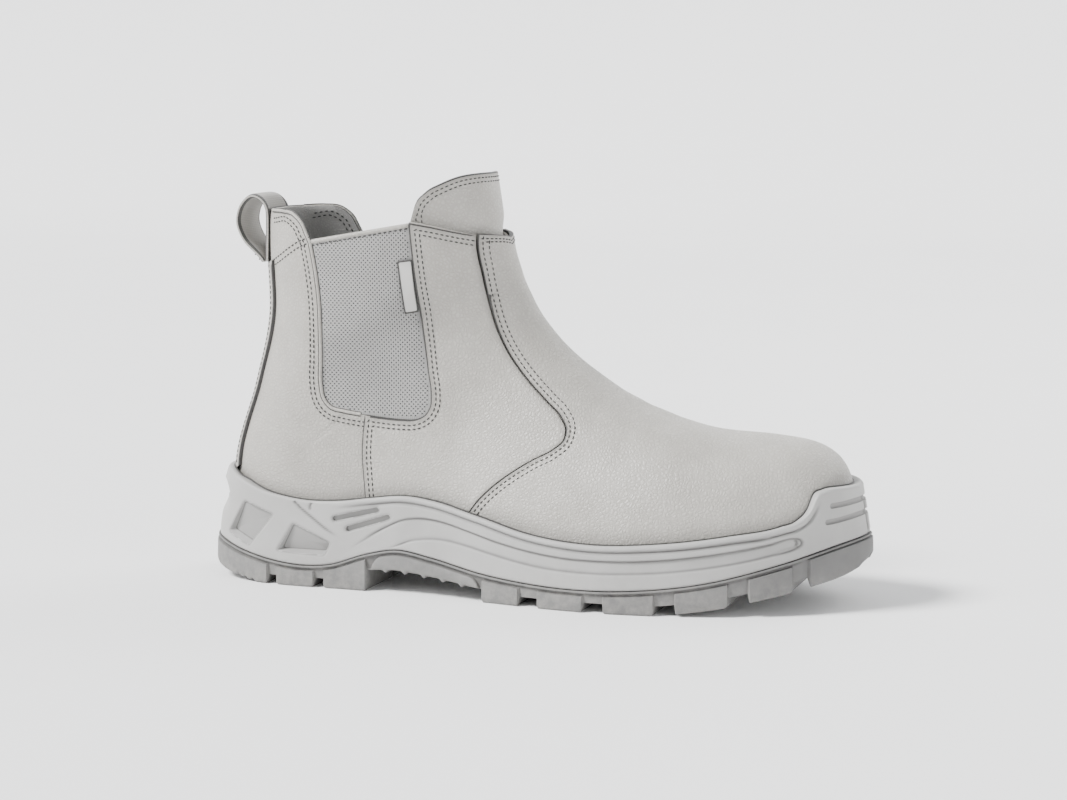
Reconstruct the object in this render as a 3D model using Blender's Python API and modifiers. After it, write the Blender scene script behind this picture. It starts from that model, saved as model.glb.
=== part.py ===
"""Right-foot pull-on leather ankle boot with elastic side panels and a lugged two-layer sole.

Sizes are in millimetres and become metres where the meshes are made.
x runs from the heel's back edge to the toe, y to the inner side of the foot, z up from the floor.
"""

import math

import bmesh
import bpy
import numpy as np
from mathutils.geometry import delaunay_2d_cdt

MM = 0.001

# Driving dimensions
LENGTH = 310.0
WALL = 2.0
CLEARANCE = 0.3
CURVED_GAP = 0.45
PANEL_GAP = 0.75
QUARTER_STEP = 0.8
VAMP_STEP = 1.3
SEAM_GAP = 0.7
GORE_RECESS = 0.5
GORE_THICKNESS = 1.5
FLAP_THICKNESS = 1.8
STRIP_THICKNESS = 1.2
STRIP_HALF_WIDTH = 19.0
LOOP_WIDTH = 25.0
LOOP_THICKNESS = 1.8
LABEL_THICKNESS = 0.8
INSOLE_THICKNESS = 4.0

# Sections of the last, each a plane from a top point on the instep to a keel point below or at the back
# The half widths run from the ridge line to the outer (lateral) and inner (medial) side
SECTION_COLUMNS = (
    "top_x", "top_z", "keel_x", "keel_z", "ridge", "lateral", "medial", "widest", "top_power", "keel_power",
)
SECTIONS = {
    "toe front": (299.7, 41.0, 299.7, 8.0, 6.0, 0.0, 0.0, 0.74, 2.3, 4.0),
    "toe rise": (296.2, 58.4, 295.0, 4.0, 6.0, 17.5, 15.5, 0.70, 2.3, 4.0),
    "toe cap": (285.5, 67.6, 282.0, 0.0, 5.5, 32.0, 27.0, 0.68, 2.3, 4.0),
    "toe crown": (264.8, 71.2, 258.0, -4.0, 4.5, 43.0, 38.5, 0.68, 2.25, 4.0),
    "ball": (234.7, 73.8, 219.0, -8.0, 3.5, 51.0, 43.0, 0.72, 2.2, 4.0),
    "vamp": (202.1, 85.1, 172.0, -10.0, 3.0, 51.0, 39.0, 0.78, 2.05, 4.0),
    "instep": (174.7, 102.9, 122.0, -12.0, 2.5, 44.0, 32.0, 0.80, 2.0, 3.5),
    "waist": (158.5, 119.6, 72.0, -12.0, 2.0, 37.0, 30.5, 0.76, 2.0, 3.0),
    "heel seat": (149.6, 135.0, 18.5, 5.0, 1.0, 33.5, 31.5, 0.68, 2.05, 2.6),
    "heel": (145.4, 146.2, 10.9, 48.0, 0.5, 32.5, 32.0, 0.62, 2.1, 2.3),
    "counter": (142.8, 154.9, 22.0, 88.0, 0.0, 33.5, 33.0, 0.56, 2.15, 2.25),
    "ankle": (141.0, 163.0, 29.2, 120.0, 0.0, 34.0, 33.5, 0.52, 2.2, 2.25),
    "collar": (138.8, 174.8, 28.8, 153.0, 0.0, 35.0, 34.5, 0.50, 2.2, 2.25),
    "peak": (135.5, 195.0, 30.0, 190.0, 0.0, 36.0, 35.5, 0.50, 2.2, 2.25),
}

# Edge of the sole seen from above
OUTLINE_COLUMNS = ("x", "lateral", "medial")
OUTLINE = (
    (0.0, 0.0, 0.0),
    (10.0, -24.5, 24.5),
    (25.0, -33.5, 33.0),
    (45.0, -38.0, 36.5),
    (80.0, -39.5, 36.0),
    (110.0, -41.5, 37.5),
    (150.0, -48.5, 43.0),
    (180.0, -54.0, 49.5),
    (205.0, -55.5, 53.5),
    (230.0, -53.0, 54.5),
    (260.0, -45.5, 51.0),
    (285.0, -33.0, 41.5),
    (300.0, -18.0, 28.0),
    (310.0, 6.0, 6.0),
)

# Heights along the sole, each a table of distance from the heel and height
RIM = (
    (0.0, 51.0), (9.0, 50.5), (18.0, 47.4), (25.0, 44.8), (32.0, 42.5), (42.0, 40.6), (55.0, 39.3),
    (70.0, 39.9), (87.0, 42.2), (104.0, 44.0), (120.0, 42.6), (142.0, 37.9), (168.0, 31.9), (197.0, 29.2),
    (228.0, 30.8), (259.0, 34.8), (280.0, 38.7), (285.5, 40.8), (289.5, 45.2), (292.3, 51.6), (295.5, 53.4),
    (302.0, 54.0), (310.0, 54.0),
)
SEAM = (
    (0.0, 18.8), (8.0, 17.6), (22.0, 14.2), (43.0, 10.4), (56.0, 9.5), (69.0, 10.6), (88.0, 16.7),
    (102.0, 19.4), (119.0, 17.2), (145.0, 12.2), (173.0, 9.7), (212.0, 9.9), (247.0, 14.1), (280.0, 22.6),
    (303.0, 29.6), (310.0, 31.2),
)
FLOOR_LINE = (
    (0.0, 9.0), (4.0, 6.2), (10.0, 4.2), (20.0, 2.2), (36.0, 0.0), (60.0, 0.0), (100.0, 0.0), (150.0, 0.0),
    (200.0, 0.0), (227.0, 0.0), (240.0, 1.6), (257.0, 4.2), (268.0, 6.6), (283.0, 10.2), (292.0, 13.0),
    (300.0, 16.0), (306.0, 19.5), (310.0, 24.0),
)
ARCH = ((87.0, 9.5), (100.0, 10.4), (119.0, 9.0), (146.0, 5.6))
FOOTBED = (
    (0.0, 24.0), (40.0, 23.5), (80.0, 23.2), (105.0, 22.6), (140.0, 19.4), (170.0, 15.5), (200.0, 14.5),
    (225.0, 15.0), (247.0, 17.6), (263.0, 21.3), (280.0, 26.0), (300.0, 31.5), (310.0, 34.0),
)
TRAY_BED = (
    (0.0, 14.0), (20.0, 9.0), (40.0, 6.6), (62.0, 6.5), (78.0, 10.5), (86.0, 14.0), (100.0, 15.0),
    (119.0, 13.6), (134.0, 12.4), (146.0, 10.4), (158.0, 7.6), (175.0, 6.5), (227.0, 6.5), (257.0, 10.7),
    (283.0, 16.7), (300.0, 22.5), (310.0, 27.0),
)
COLLAR = (
    (15.0, 170.0), (62.0, 170.0), (80.0, 168.6), (106.8, 166.6), (115.8, 164.9), (125.5, 162.5),
    (133.9, 160.4), (137.2, 160.0), (142.0, 159.2), (150.0, 158.5),
)

# The long sunk band on the side of the sole: its lower and upper edge
BAND_LOW = (
    (90.0, 18.6), (103.0, 21.4), (113.0, 25.0), (122.0, 26.5), (133.0, 25.9), (155.0, 21.9), (173.0, 18.8),
    (190.0, 17.4), (211.0, 17.9), (238.0, 20.6), (263.0, 25.0), (288.0, 30.5),
)
BAND_HIGH = (
    (81.0, 20.5), (93.0, 27.3), (104.0, 32.9), (115.0, 35.1), (125.0, 34.9), (138.0, 32.3), (155.0, 27.5),
    (173.0, 24.5), (190.0, 23.3), (211.0, 23.3), (238.0, 25.9), (263.0, 30.2), (288.0, 35.2),
)
BAND_ENDS = (100.0, 114.0, 283.0, 288.0)
BAND_DEPTH = 1.0
BAND_EDGE = 0.5
BEAD_HEIGHT = 3.0
BEAD_START = (60.0, 90.0)
BEAD_DEPTH = 0.8
HEEL_CUP = (4.0, 40.0)
HEEL_CREASE_DROP = 4.0
HEEL_BULGE = 0.2

# Tread lugs, start and end from the heel
LUGS = (
    (0.0, 37.5), (43.0, 61.3), (66.8, 87.2), (145.8, 163.4), (173.2, 194.0), (204.0, 225.8), (235.6, 257.0),
    (266.2, 282.8), (290.0, 310.0),
)
LUG_DEPTH = 4.2
LUG_DRAFT = 0.7
LUG_BEVEL_IN = 0.9
LUG_BEVEL_UP = 1.2
LUG_TAPER = 0.2
LUG_STATIONS = (0.7, 2.6, 6.0, 11.0, 18.0, 27.0, 52.0, 77.0, 274.5, 295.0, 299.5, 303.5, 306.6, 308.8, 309.6)
ARCH_RIBS = 5
RIB_HEIGHT = 1.3
RIB_RISE = 0.2
RIB_FALL = 0.06
TREAD_CHANNEL = (0.455, 0.470, 0.530, 0.545)
CHANNEL_SPAN = (20.0, 296.0)

# Openings and trim on the side, as x and z on the outer side
GORE = {
    "rear": ((58.9, 157.1), (61.3, 144.9), (63.0, 131.7), (63.8, 118.5), (64.0, 105.2), (63.7, 92.0)),
    "rear foot": ((64.9, 86.0), (68.2, 82.2)),
    "foot": ((75.0, 80.5), (84.3, 79.2), (93.0, 78.2), (102.6, 77.6), (108.2, 77.8)),
    "front foot": ((112.8, 79.9), (115.1, 83.9), (115.2, 88.8)),
    "front": ((113.4, 99.5), (110.8, 119.5), (108.9, 139.6), (106.8, 165.2)),
}
TAB_FRONT = ((44.0, 171.5), (49.7, 169.2), (54.5, 165.3), (57.1, 160.4))
NOTCH_TOP = 185.0
NOTCH_REACH = (6.0, 70.0)
PANEL_SPACING = 9.0
LABEL_SPACING = 5.0
QUARTER_TOP = ((106.8, 166.4), (115.8, 164.7), (125.5, 162.3), (132.6, 160.6))
QUARTER_SEAM = ((84.8, 79.1), (83.9, 70.1), (83.7, 61.7), (84.6, 51.4), (86.4, 36.0))
VAMP_SEAM = (
    (133.7, 160.6), (133.6, 156.0), (134.8, 146.5), (137.7, 132.3), (142.5, 118.1), (148.2, 107.9),
    (157.1, 97.2), (168.3, 86.9), (175.6, 80.6), (179.1, 75.0), (178.7, 70.7), (174.9, 67.1), (165.7, 62.1),
    (155.7, 55.8), (146.8, 48.8), (141.3, 43.2), (135.4, 34.6),
)
HEEL_WINDOWS = (
    ((25.4, 37.3), (40.6, 32.2), (27.2, 16.7), (14.5, 22.3)),
    ((50.8, 28.6), (69.5, 20.8), (66.6, 14.8), (42.4, 15.5)),
)
WINDOW_DEPTH = 2.4
SLOTS = (((72.9, 32.4), (93.0, 37.5)), ((78.8, 28.4), (96.3, 33.7)))
SLOT_RADIUS = 1.2
SLOT_DEPTH = 2.4
RECESS_REACH = 6.0
TOE_GROOVES = ((295.5, 46.9), (293.5, 40.4))
TOE_GROOVE_RADIUS = 1.25
TOE_GROOVE_POINTS = 7
LABEL = ((101.6, 148.9), (107.6, 149.7), (109.2, 126.8), (103.8, 125.8))
FLAP_TOP = (
    (100.0, 150.0), (107.2, 166.9), (109.5, 174.4), (113.6, 179.6), (120.7, 184.0), (127.9, 187.1),
    (134.1, 188.3), (145.0, 188.6),
)
FLAP_FOOT = 9.9
FLAP_COLUMNS = 15
FLAP_ROWS = 5

# Middle line of the pull loop at the back, x and z, from its outer end round to its inner end
LOOP_PATH = (
    (24.6, 147.2), (22.0, 151.2), (17.9, 157.0), (15.6, 163.8), (16.8, 170.6), (20.6, 175.6), (24.8, 175.2),
    (27.0, 170.0), (27.2, 160.0), (27.0, 152.0), (26.9, 147.2),
)
LOOP_CURVE_RADIUS = 30.0
LOOP_ROWS = 17
LOOP_COLUMNS = 5
LOOP_OUTER_END = (0.0, 1.6)
LOOP_INNER_END = (5.5, 7.2)
STRIP_ROWS = 9
STRIP_COLUMNS = 7
STRIP_STOP = 1.6

LATERAL, MEDIAL = -1, 1


# Interpolation

def smooth(table, at):
    """Cubic curve through a table whose first column is the position; the other columns come back."""
    table = np.asarray(table, float)
    return through(table[:, 0], table[:, 1:], at)


def through(knots, values, at, flat_start=()):
    """Cubic curve through rows of values at the knots, with slopes from the neighbouring rows."""
    at = np.clip(np.asarray(at, float), knots[0], knots[-1])
    slopes = np.gradient(values, knots, axis=0)
    for column in flat_start:
        slopes[0, column] = 0.0
    low = np.clip(np.searchsorted(knots, at, side="right") - 1, 0, len(knots) - 2)
    step = (knots[low + 1] - knots[low])[..., None]
    t = (at - knots[low])[..., None] / step
    start = (2 * t**3 - 3 * t**2 + 1) * values[low] + (t**3 - 2 * t**2 + t) * step * slopes[low]
    end = (3 * t**2 - 2 * t**3) * values[low + 1] + (t**3 - t**2) * step * slopes[low + 1]
    return start + end


def height(table, x):
    """Height read from a table of distance and height."""
    return smooth(table, x)[..., 0]


def ramp(x, start, end):
    """Smooth rise from 0 at start to 1 at end."""
    t = np.clip((np.asarray(x, float) - start) / (end - start), 0.0, 1.0)
    return t * t * (3 - 2 * t)


# The last: a point and its outward normal at section row s and turn v round the section

SECTION_ROWS = np.array(list(SECTIONS.values()))
LAST_ROW = len(SECTIONS) - 1
ROW_KNOTS = np.arange(len(SECTIONS), dtype=float)
NORMAL_STEP = 1e-3


def section(s):
    """Columns of the section table at a fractional row, as a dictionary."""
    flat = (SECTION_COLUMNS.index("top_x"), SECTION_COLUMNS.index("keel_x"))
    columns = through(ROW_KNOTS, SECTION_ROWS, s, flat)
    return {name: columns[..., k] for k, name in enumerate(SECTION_COLUMNS)}


def last_point(s, v):
    """Point on the last. v is 0 on the instep ridge, -pi to pi round the outer and inner side to the keel."""
    v = (np.asarray(v, float) + math.pi) % (2 * math.pi) - math.pi
    c = section(s)
    turn = np.abs(v)
    upper = turn < math.pi / 2
    power = 2.0 / np.where(upper, c["top_power"], c["keel_power"])
    along = np.abs(np.cos(turn)) ** power
    across = np.abs(np.sin(turn)) ** power
    down = np.where(upper, c["widest"] * (1 - along), c["widest"] + (1 - c["widest"]) * along)
    half = np.where(v < 0, -c["lateral"], c["medial"])
    x = c["top_x"] + (c["keel_x"] - c["top_x"]) * down
    z = c["top_z"] + (c["keel_z"] - c["top_z"]) * down
    return np.stack([x, c["ridge"] + half * across, z], axis=-1)


def last_normal(s, v):
    """Outward unit normal of the last."""
    s = np.asarray(s, float)
    v = np.asarray(v, float)
    ahead = np.minimum(s + NORMAL_STEP, LAST_ROW)
    behind = np.maximum(s - NORMAL_STEP, 0.0)
    along = last_point(ahead, v) - last_point(behind, v)
    around = last_point(s, v + NORMAL_STEP) - last_point(s, v - NORMAL_STEP)
    normal = np.cross(around, along)
    length = np.linalg.norm(normal, axis=-1, keepdims=True)
    return np.where(length > 1e-12, normal / np.maximum(length, 1e-12), (1.0, 0.0, 0.0))


def last_offset(s, v, offset):
    """Point at a distance outside the last, or inside where the offset is negative."""
    return last_point(s, v) + last_normal(s, v) * np.asarray(offset, float)[..., None]


def find_on_last(x, z, side):
    """Section row and turn of the point that shows at x, z from the given side."""
    x, z = np.broadcast_arrays(np.asarray(x, float), np.asarray(z, float))
    low, high = np.zeros(x.shape), np.full(x.shape, float(LAST_ROW))
    for _ in range(40):
        middle = (low + high) / 2
        c = section(middle)
        beyond = (c["keel_x"] - c["top_x"]) * (z - c["top_z"]) - (c["keel_z"] - c["top_z"]) * (x - c["top_x"])
        low, high = np.where(beyond < 0, middle, low), np.where(beyond < 0, high, middle)
    c = section(low)
    run_x, run_z = c["keel_x"] - c["top_x"], c["keel_z"] - c["top_z"]
    down = np.clip(((x - c["top_x"]) * run_x + (z - c["top_z"]) * run_z) / (run_x**2 + run_z**2), 0.0, 1.0)
    upper = down < c["widest"]
    along = np.where(upper, 1 - down / c["widest"], (down - c["widest"]) / (1 - c["widest"]))
    power = np.where(upper, c["top_power"], c["keel_power"]) / 2
    angle = np.arccos(np.clip(along, 0.0, 1.0) ** power)
    return low, side * np.where(upper, angle, math.pi - angle)


def side_point(x, z, side, offset):
    """Point outside the last by the offset, at x, z seen from the side."""
    s, v = find_on_last(x, z, side)
    return last_offset(s, v, np.broadcast_to(offset, s.shape))


PROFILE_ROWS = np.linspace(0.0, LAST_ROW, 600)
PROFILE = section(PROFILE_ROWS)
HEEL_ROWS = PROFILE_ROWS >= list(SECTIONS).index("heel seat")
TOE_ROWS = PROFILE_ROWS <= list(SECTIONS).index("toe crown")


def level_loop(turn, side, z, offset):
    """Points round the last at height z; turn runs from 0 at the heel to pi at the toe."""
    heel_x = np.interp(z, PROFILE["keel_z"][HEEL_ROWS], PROFILE["keel_x"][HEEL_ROWS])
    toe_x = np.interp(z, PROFILE["top_z"][TOE_ROWS], PROFILE["top_x"][TOE_ROWS])
    x = heel_x + (toe_x - heel_x) * (1 - np.cos(turn)) / 2
    s, v = find_on_last(x, z, side)
    v = np.where(np.asarray(turn) < 1e-6, side * math.pi, v)
    outward = last_normal(s, v) * np.array([1.0, 1.0, 0.0])
    steep = np.maximum(np.sum(outward**2, axis=-1, keepdims=True), 0.3)
    return last_point(s, v) + outward / steep * np.broadcast_to(offset, s.shape)[..., None]


# The sole's edge

def sole_turn(x):
    """Turn along the sole's edge at a distance from the heel: 0 at the heel, pi at the toe."""
    return np.arccos(np.clip(1 - 2 * np.asarray(x, float) / LENGTH, -1.0, 1.0))


OUTLINE_ROWS = np.array(OUTLINE)
OUTLINE_KNOTS = sole_turn(OUTLINE_ROWS[:, 0])


def sole_edge(turn, side, inset=0.0):
    """x and y on the edge of the sole, moved inwards by the inset."""
    def edge(at):
        y = through(OUTLINE_KNOTS, OUTLINE_ROWS, at)[..., column]
        return np.stack([LENGTH / 2 * (1 - np.cos(at)), y], axis=-1)

    column = OUTLINE_COLUMNS.index("lateral" if side == LATERAL else "medial")
    turn = np.clip(np.asarray(turn, float), 0.0, math.pi)
    run = edge(np.minimum(turn + NORMAL_STEP, math.pi)) - edge(np.maximum(turn - NORMAL_STEP, 0.0))
    run[..., 0] = np.where((turn < 1e-6) | (turn > math.pi - 1e-6), 0.0, run[..., 0])
    normal = np.stack([-run[..., 1], run[..., 0]], axis=-1) * -side
    normal /= np.linalg.norm(normal, axis=-1, keepdims=True)
    return edge(turn) + normal * np.asarray(inset, float)[..., None]


def edge_ring(turns, inset, z):
    """Closed ring along the sole's edge: the outer side from heel to toe, then the inner side back."""
    insets = np.broadcast_to(inset, turns.shape)
    heights = np.broadcast_to(z, turns.shape)
    outer = np.column_stack([sole_edge(turns, LATERAL, insets), heights])
    inner = np.column_stack([sole_edge(turns, MEDIAL, insets), heights])
    return np.vstack([outer, inner[-2:0:-1]])


def last_x(x, offset):
    """Where a point of a last ring lies along the boot, for a station of the sole's edge and an offset."""
    back = SECTIONS["heel"][SECTION_COLUMNS.index("keel_x")] - offset
    front = SECTIONS["toe front"][SECTION_COLUMNS.index("top_x")] + offset
    return back + (front - back) * np.asarray(x, float) / LENGTH


def last_ring(turns, z, offset):
    """Closed ring round the last, with the same order of points as an edge ring."""
    heights = np.broadcast_to(z, turns.shape)
    offsets = np.broadcast_to(offset, turns.shape)
    outer = level_loop(turns, LATERAL, heights, offsets)
    inner = level_loop(turns, MEDIAL, heights, offsets)
    return np.vstack([outer, inner[-2:0:-1]])


# Meshes

SHARP_ANGLE = 40.0


class Builder:
    """Collects points and faces of one piece, then makes a welded mesh object."""

    def __init__(self):
        self.points = []
        self.faces = []

    def add(self, points):
        """Adds points and returns their numbers in the same arrangement."""
        points = np.asarray(points, float)
        first = len(self.points)
        self.points.extend(points.reshape(-1, 3))
        return np.arange(first, len(self.points)).reshape(points.shape[:-1])

    def sheet(self, rows, closed=False):
        """Quads between neighbouring rows of point numbers."""
        for a, b in zip(rows[:-1], rows[1:]):
            count = len(a) if closed else len(a) - 1
            for k in range(count):
                n = (k + 1) % len(a)
                self.faces.append((a[k], a[n], b[n], b[k]))

    def across(self, ring, columns=(0.0, 1.0), height_at=None):
        """Fills a ring with rungs between its outer and inner side."""
        count = len(ring) // 2
        pairs = [(ring[k], ring[-k]) for k in range(1, count)]
        pairs = [(ring[0], ring[0]), *pairs, (ring[count], ring[count])]
        rungs = []
        for k, (outer, inner) in enumerate(pairs):
            a, b = self.points[outer], self.points[inner]
            rung = [outer]
            for u in columns[1:-1]:
                point = a + (b - a) * u
                if height_at is not None:
                    point = np.array([point[0], point[1], height_at(k, u, point[2])])
                rung.append(int(self.add(point[None])[0]))
            rungs.append(rung + [inner])
        self.sheet(rungs)

    def object(self, name, collection, parent, material, weld=0.02):
        """Welded mesh object with its faces pointing out."""
        work = bmesh.new()
        verts = [work.verts.new(np.asarray(p) * MM) for p in self.points]
        for face in self.faces:
            corners = list(dict.fromkeys(int(k) for k in face))
            if len(corners) > 2:
                work.faces.new([verts[k] for k in corners])
        bmesh.ops.remove_doubles(work, verts=work.verts, dist=weld * MM)
        bmesh.ops.dissolve_degenerate(work, edges=work.edges, dist=0.01 * MM)
        bmesh.ops.delete(work, geom=[v for v in work.verts if not v.link_faces], context="VERTS")
        bmesh.ops.recalc_face_normals(work, faces=work.faces)
        if all(edge.is_manifold for edge in work.edges) and work.calc_volume(signed=True) < 0:
            bmesh.ops.reverse_faces(work, faces=work.faces)
        mesh = bpy.data.meshes.new(name)
        work.to_mesh(mesh)
        work.free()
        mesh.shade_smooth()
        mesh.set_sharp_from_angle(angle=math.radians(SHARP_ANGLE))
        return link(bpy.data.objects.new(name, mesh), collection, parent, material)


def link(thing, collection, parent, material):
    """Puts an object in its collection, under the boot's own empty, with its material."""
    collection.objects.link(thing)
    thing.parent = parent
    if material is not None:
        thing.data.materials.append(material)
    return thing


def thicken(thing, thickness, offset):
    """Gives an open surface its wall: offset -1 grows inwards, 0 both ways, 1 outwards."""
    solid = thing.modifiers.new("wall", "SOLIDIFY")
    solid.thickness = thickness * MM
    solid.offset = offset
    solid.use_even_offset = False
    return thing


def cut(thing, cutter):
    """Subtracts a helper from a piece."""
    boolean = thing.modifiers.new(cutter.name, "BOOLEAN")
    boolean.operation = "DIFFERENCE"
    boolean.object = cutter


def helper(thing):
    """Marks a cutter, which is not a piece of the boot."""
    thing.hide_render = True
    thing.display_type = "WIRE"
    return thing


def hull(name, points, collection, parent):
    """Closed convex cutter round a set of points."""
    work = bmesh.new()
    for p in points:
        work.verts.new(np.asarray(p, float) * MM)
    made = bmesh.ops.convex_hull(work, input=work.verts)
    inside = [v for v in made["geom_interior"] if isinstance(v, bmesh.types.BMVert)]
    bmesh.ops.delete(work, geom=inside, context="VERTS")
    bmesh.ops.recalc_face_normals(work, faces=work.faces)
    mesh = bpy.data.meshes.new(name)
    work.to_mesh(mesh)
    work.free()
    return helper(link(bpy.data.objects.new(name, mesh), collection, parent, None))


def finish(name, colour, roughness):
    """Plain finish of one material."""
    material = bpy.data.materials.new(name)
    material.use_nodes = True
    shader = material.node_tree.nodes["Principled BSDF"]
    shader.inputs["Base Color"].default_value = (*colour, 1.0)
    shader.inputs["Roughness"].default_value = roughness
    shader.inputs["Metallic"].default_value = 0.0
    return material


# Sole

def tread_stations():
    """Distances from the heel for the outsole's rungs, each with whether it stands on a lug."""
    rows = []
    for start, end in LUGS:
        inner = [x for x in LUG_STATIONS if start < x < end]
        rows += [(x, True) for x in (start, *inner, end)]
        if end < LENGTH:
            rows.append((end + LUG_DRAFT, False))
        if start > 0.0:
            rows.append((start - LUG_DRAFT, False))
    arch_start, arch_end = LUGS[2][1] + LUG_DRAFT, LUGS[3][0] - LUG_DRAFT
    pitch = (arch_end - arch_start) / (ARCH_RIBS + 1)
    for k in range(1, ARCH_RIBS + 1):
        middle = arch_start + pitch * k
        rows += [(middle - RIB_RISE * pitch, False), (middle, False), (middle + RIB_FALL * pitch, False)]
    return sorted(rows)


def ground(x):
    """Height of the lugs' faces: flat on the floor, with the toe spring and the heel's rear bevel."""
    return max(0.0, float(height(FLOOR_LINE, x)))


def tread_height(x, on_lug):
    """Lowest height of the outsole at a station."""
    if on_lug:
        return ground(x)
    arch_start, arch_end = LUGS[2][1] + LUG_DRAFT, LUGS[3][0] - LUG_DRAFT
    if arch_start <= x <= arch_end:
        pitch = (arch_end - arch_start) / (ARCH_RIBS + 1)
        place = (x - arch_start) / pitch
        near = abs(place - round(place)) < RIB_FALL / 2 and 0 < round(place) <= ARCH_RIBS
        return float(height(ARCH, x)) - (RIB_HEIGHT if near else 0.0)
    return ground(x) + LUG_DEPTH


LIP_INSET = 0.7
LIP_HEIGHT = 0.9
LEDGE_INSET = 1.7
LEDGE_DROP = 2.4
LEDGE_STEP = 0.5
TREAD_LEAST = 4.2
TRAY_WALL = 5.0
TRAY_MARGIN = 0.6
TRAY_SLOPE = 1.5
MIDSOLE_INSET = 1.4
RIM_THICKNESS = 2.6
RIM_REACH = 4.8
RIM_BEVEL_IN = 0.9
RIM_BEVEL_UP = 1.2
RIM_INNER_DROP = 0.3
TOE_BUMPER = 1.4
TOE_BUMPER_RISE = (284.0, 294.0)
STRIP_EDGE = (21.0, 28.0)
RIM_TUCK = 4.0


def build_outsole(boot, parent, material):
    """Rubber outsole: lugs, ribbed arch, a lip along its top edge and a shallow tray for the midsole."""
    stations = tread_stations()
    x = np.array([row[0] for row in stations])
    on_lug = np.array([row[1] for row in stations])
    turns = sole_turn(x)
    low = np.array([tread_height(*row) for row in stations])
    seam = height(SEAM, x)
    low = np.minimum(low, seam - TREAD_LEAST)
    ledge = np.maximum(seam - LEDGE_DROP, low + LEDGE_STEP)
    bevel = np.minimum(low + LUG_BEVEL_UP, ledge - CLEARANCE)
    piece = Builder()
    rings = [
        piece.add(edge_ring(turns, np.where(on_lug, LUG_BEVEL_IN, LEDGE_INSET), low)),
        piece.add(edge_ring(turns, np.where(on_lug, 0.0, LEDGE_INSET), bevel)),
        piece.add(edge_ring(turns, np.where(on_lug, LUG_TAPER, LEDGE_INSET), ledge)),
        piece.add(edge_ring(turns, LEDGE_INSET, ledge + LEDGE_STEP)),
        piece.add(edge_ring(turns, LIP_INSET, seam - LIP_HEIGHT)),
        piece.add(edge_ring(turns, LIP_INSET, seam)),
        piece.add(edge_ring(turns, TRAY_WALL, seam)),
        piece.add(edge_ring(turns, TRAY_WALL + TRAY_SLOPE, height(TRAY_BED, x))),
    ]
    piece.sheet(rings, closed=True)

    def channel(k, u, z):
        inside = TREAD_CHANNEL[0] < u < TREAD_CHANNEL[-1]
        spanned = CHANNEL_SPAN[0] < x[k] < CHANNEL_SPAN[1]
        return z + LUG_DEPTH if inside and spanned and on_lug[k] else z

    piece.across(rings[0], (0.0, *TREAD_CHANNEL, 1.0), channel)
    piece.across(rings[-1])
    return piece.object("outsole", boot, parent, material)


def cavity_offset(x):
    """How far the midsole's inner wall stands off the last, clear of the panels that reach under its rim."""
    quarter_x, vamp_x = QUARTER_SEAM[-1][0] - RIM_TUCK, VAMP_SEAM[-1][0] - RIM_TUCK
    quarter = ramp(x, quarter_x - RIM_REACH / 2, quarter_x) * (PANEL_GAP + QUARTER_STEP)
    vamp = ramp(x, vamp_x - RIM_REACH, vamp_x) * (VAMP_STEP - QUARTER_STEP)
    strip = (1 - ramp(x, *STRIP_EDGE)) * (CLEARANCE + STRIP_THICKNESS)
    return CURVED_GAP + quarter + vamp + strip


def midsole_side(turns):
    """Rings up the midsole's outer side, from its lower edge to the top of its rim."""
    x = LENGTH / 2 * (1 - np.cos(turns))
    rim_x = last_x(x, RIM_REACH)
    side_x = (x + rim_x) / 2
    seam, rim = on_outsole(SEAM, x), height(RIM, rim_x)
    heel = 1 - ramp(x, *HEEL_CUP)
    band = ramp(side_x, *BAND_ENDS[:2]) * (1 - ramp(side_x, *BAND_ENDS[2:]))
    bead = np.maximum(ramp(x, *BEAD_START), heel)
    third = (rim - seam) / 3
    low = (1 - band) * (seam + third) + band * height(BAND_LOW, side_x)
    high = (1 - band) * (seam + 1.9 * third) + band * height(BAND_HIGH, side_x)
    crease = rim - BEAD_HEIGHT - HEEL_CREASE_DROP * heel
    foot = edge_ring(turns, MIDSOLE_INSET, seam)
    inwards = edge_ring(turns, MIDSOLE_INSET + 1.0, seam) - foot
    wall = cavity_offset(last_x(x, 0.0))
    thick = RIM_THICKNESS + TOE_BUMPER * ramp(rim_x, *TOE_BUMPER_RISE)
    bevel = rim - RIM_BEVEL_UP
    head = last_ring(turns, bevel, wall + thick)

    def ring(z, sunk):
        share = np.clip((z - seam) / (bevel - seam), 0.0, 1.0) ** (1 + HEEL_BULGE * heel)
        depth = np.broadcast_to(sunk, z.shape)
        points = foot + (head - foot) * mirrored(share)[:, None] + inwards * mirrored(depth)[:, None]
        points[:, 2] = mirrored(z)
        return points

    lip = last_ring(turns, rim, wall + thick - RIM_BEVEL_IN)
    lip[:, 2] = mirrored(rim)
    return [
        ring(seam + CLEARANCE, 0.0),
        ring(low, 0.0),
        ring(low + BAND_EDGE, BAND_DEPTH * band),
        ring(high - BAND_EDGE, BAND_DEPTH * band),
        ring(high, 0.0),
        ring(crease, BEAD_DEPTH * bead),
        ring(bevel, 0.0),
        lip,
    ]


def mirrored(values):
    """Values along the outer side from heel to toe, then back along the inner side, as in a ring."""
    return np.concatenate([values, values[-2:0:-1]])


SIDE_TURNS = np.linspace(0.0, math.pi, 241)
SLOPE_STEP = 1.5


def at_level(column, z):
    """Point at a height on a column of points that rise up the side."""
    return np.array([*(np.interp(z, column[:, 2], column[:, axis]) for axis in (0, 1)), z])


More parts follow.
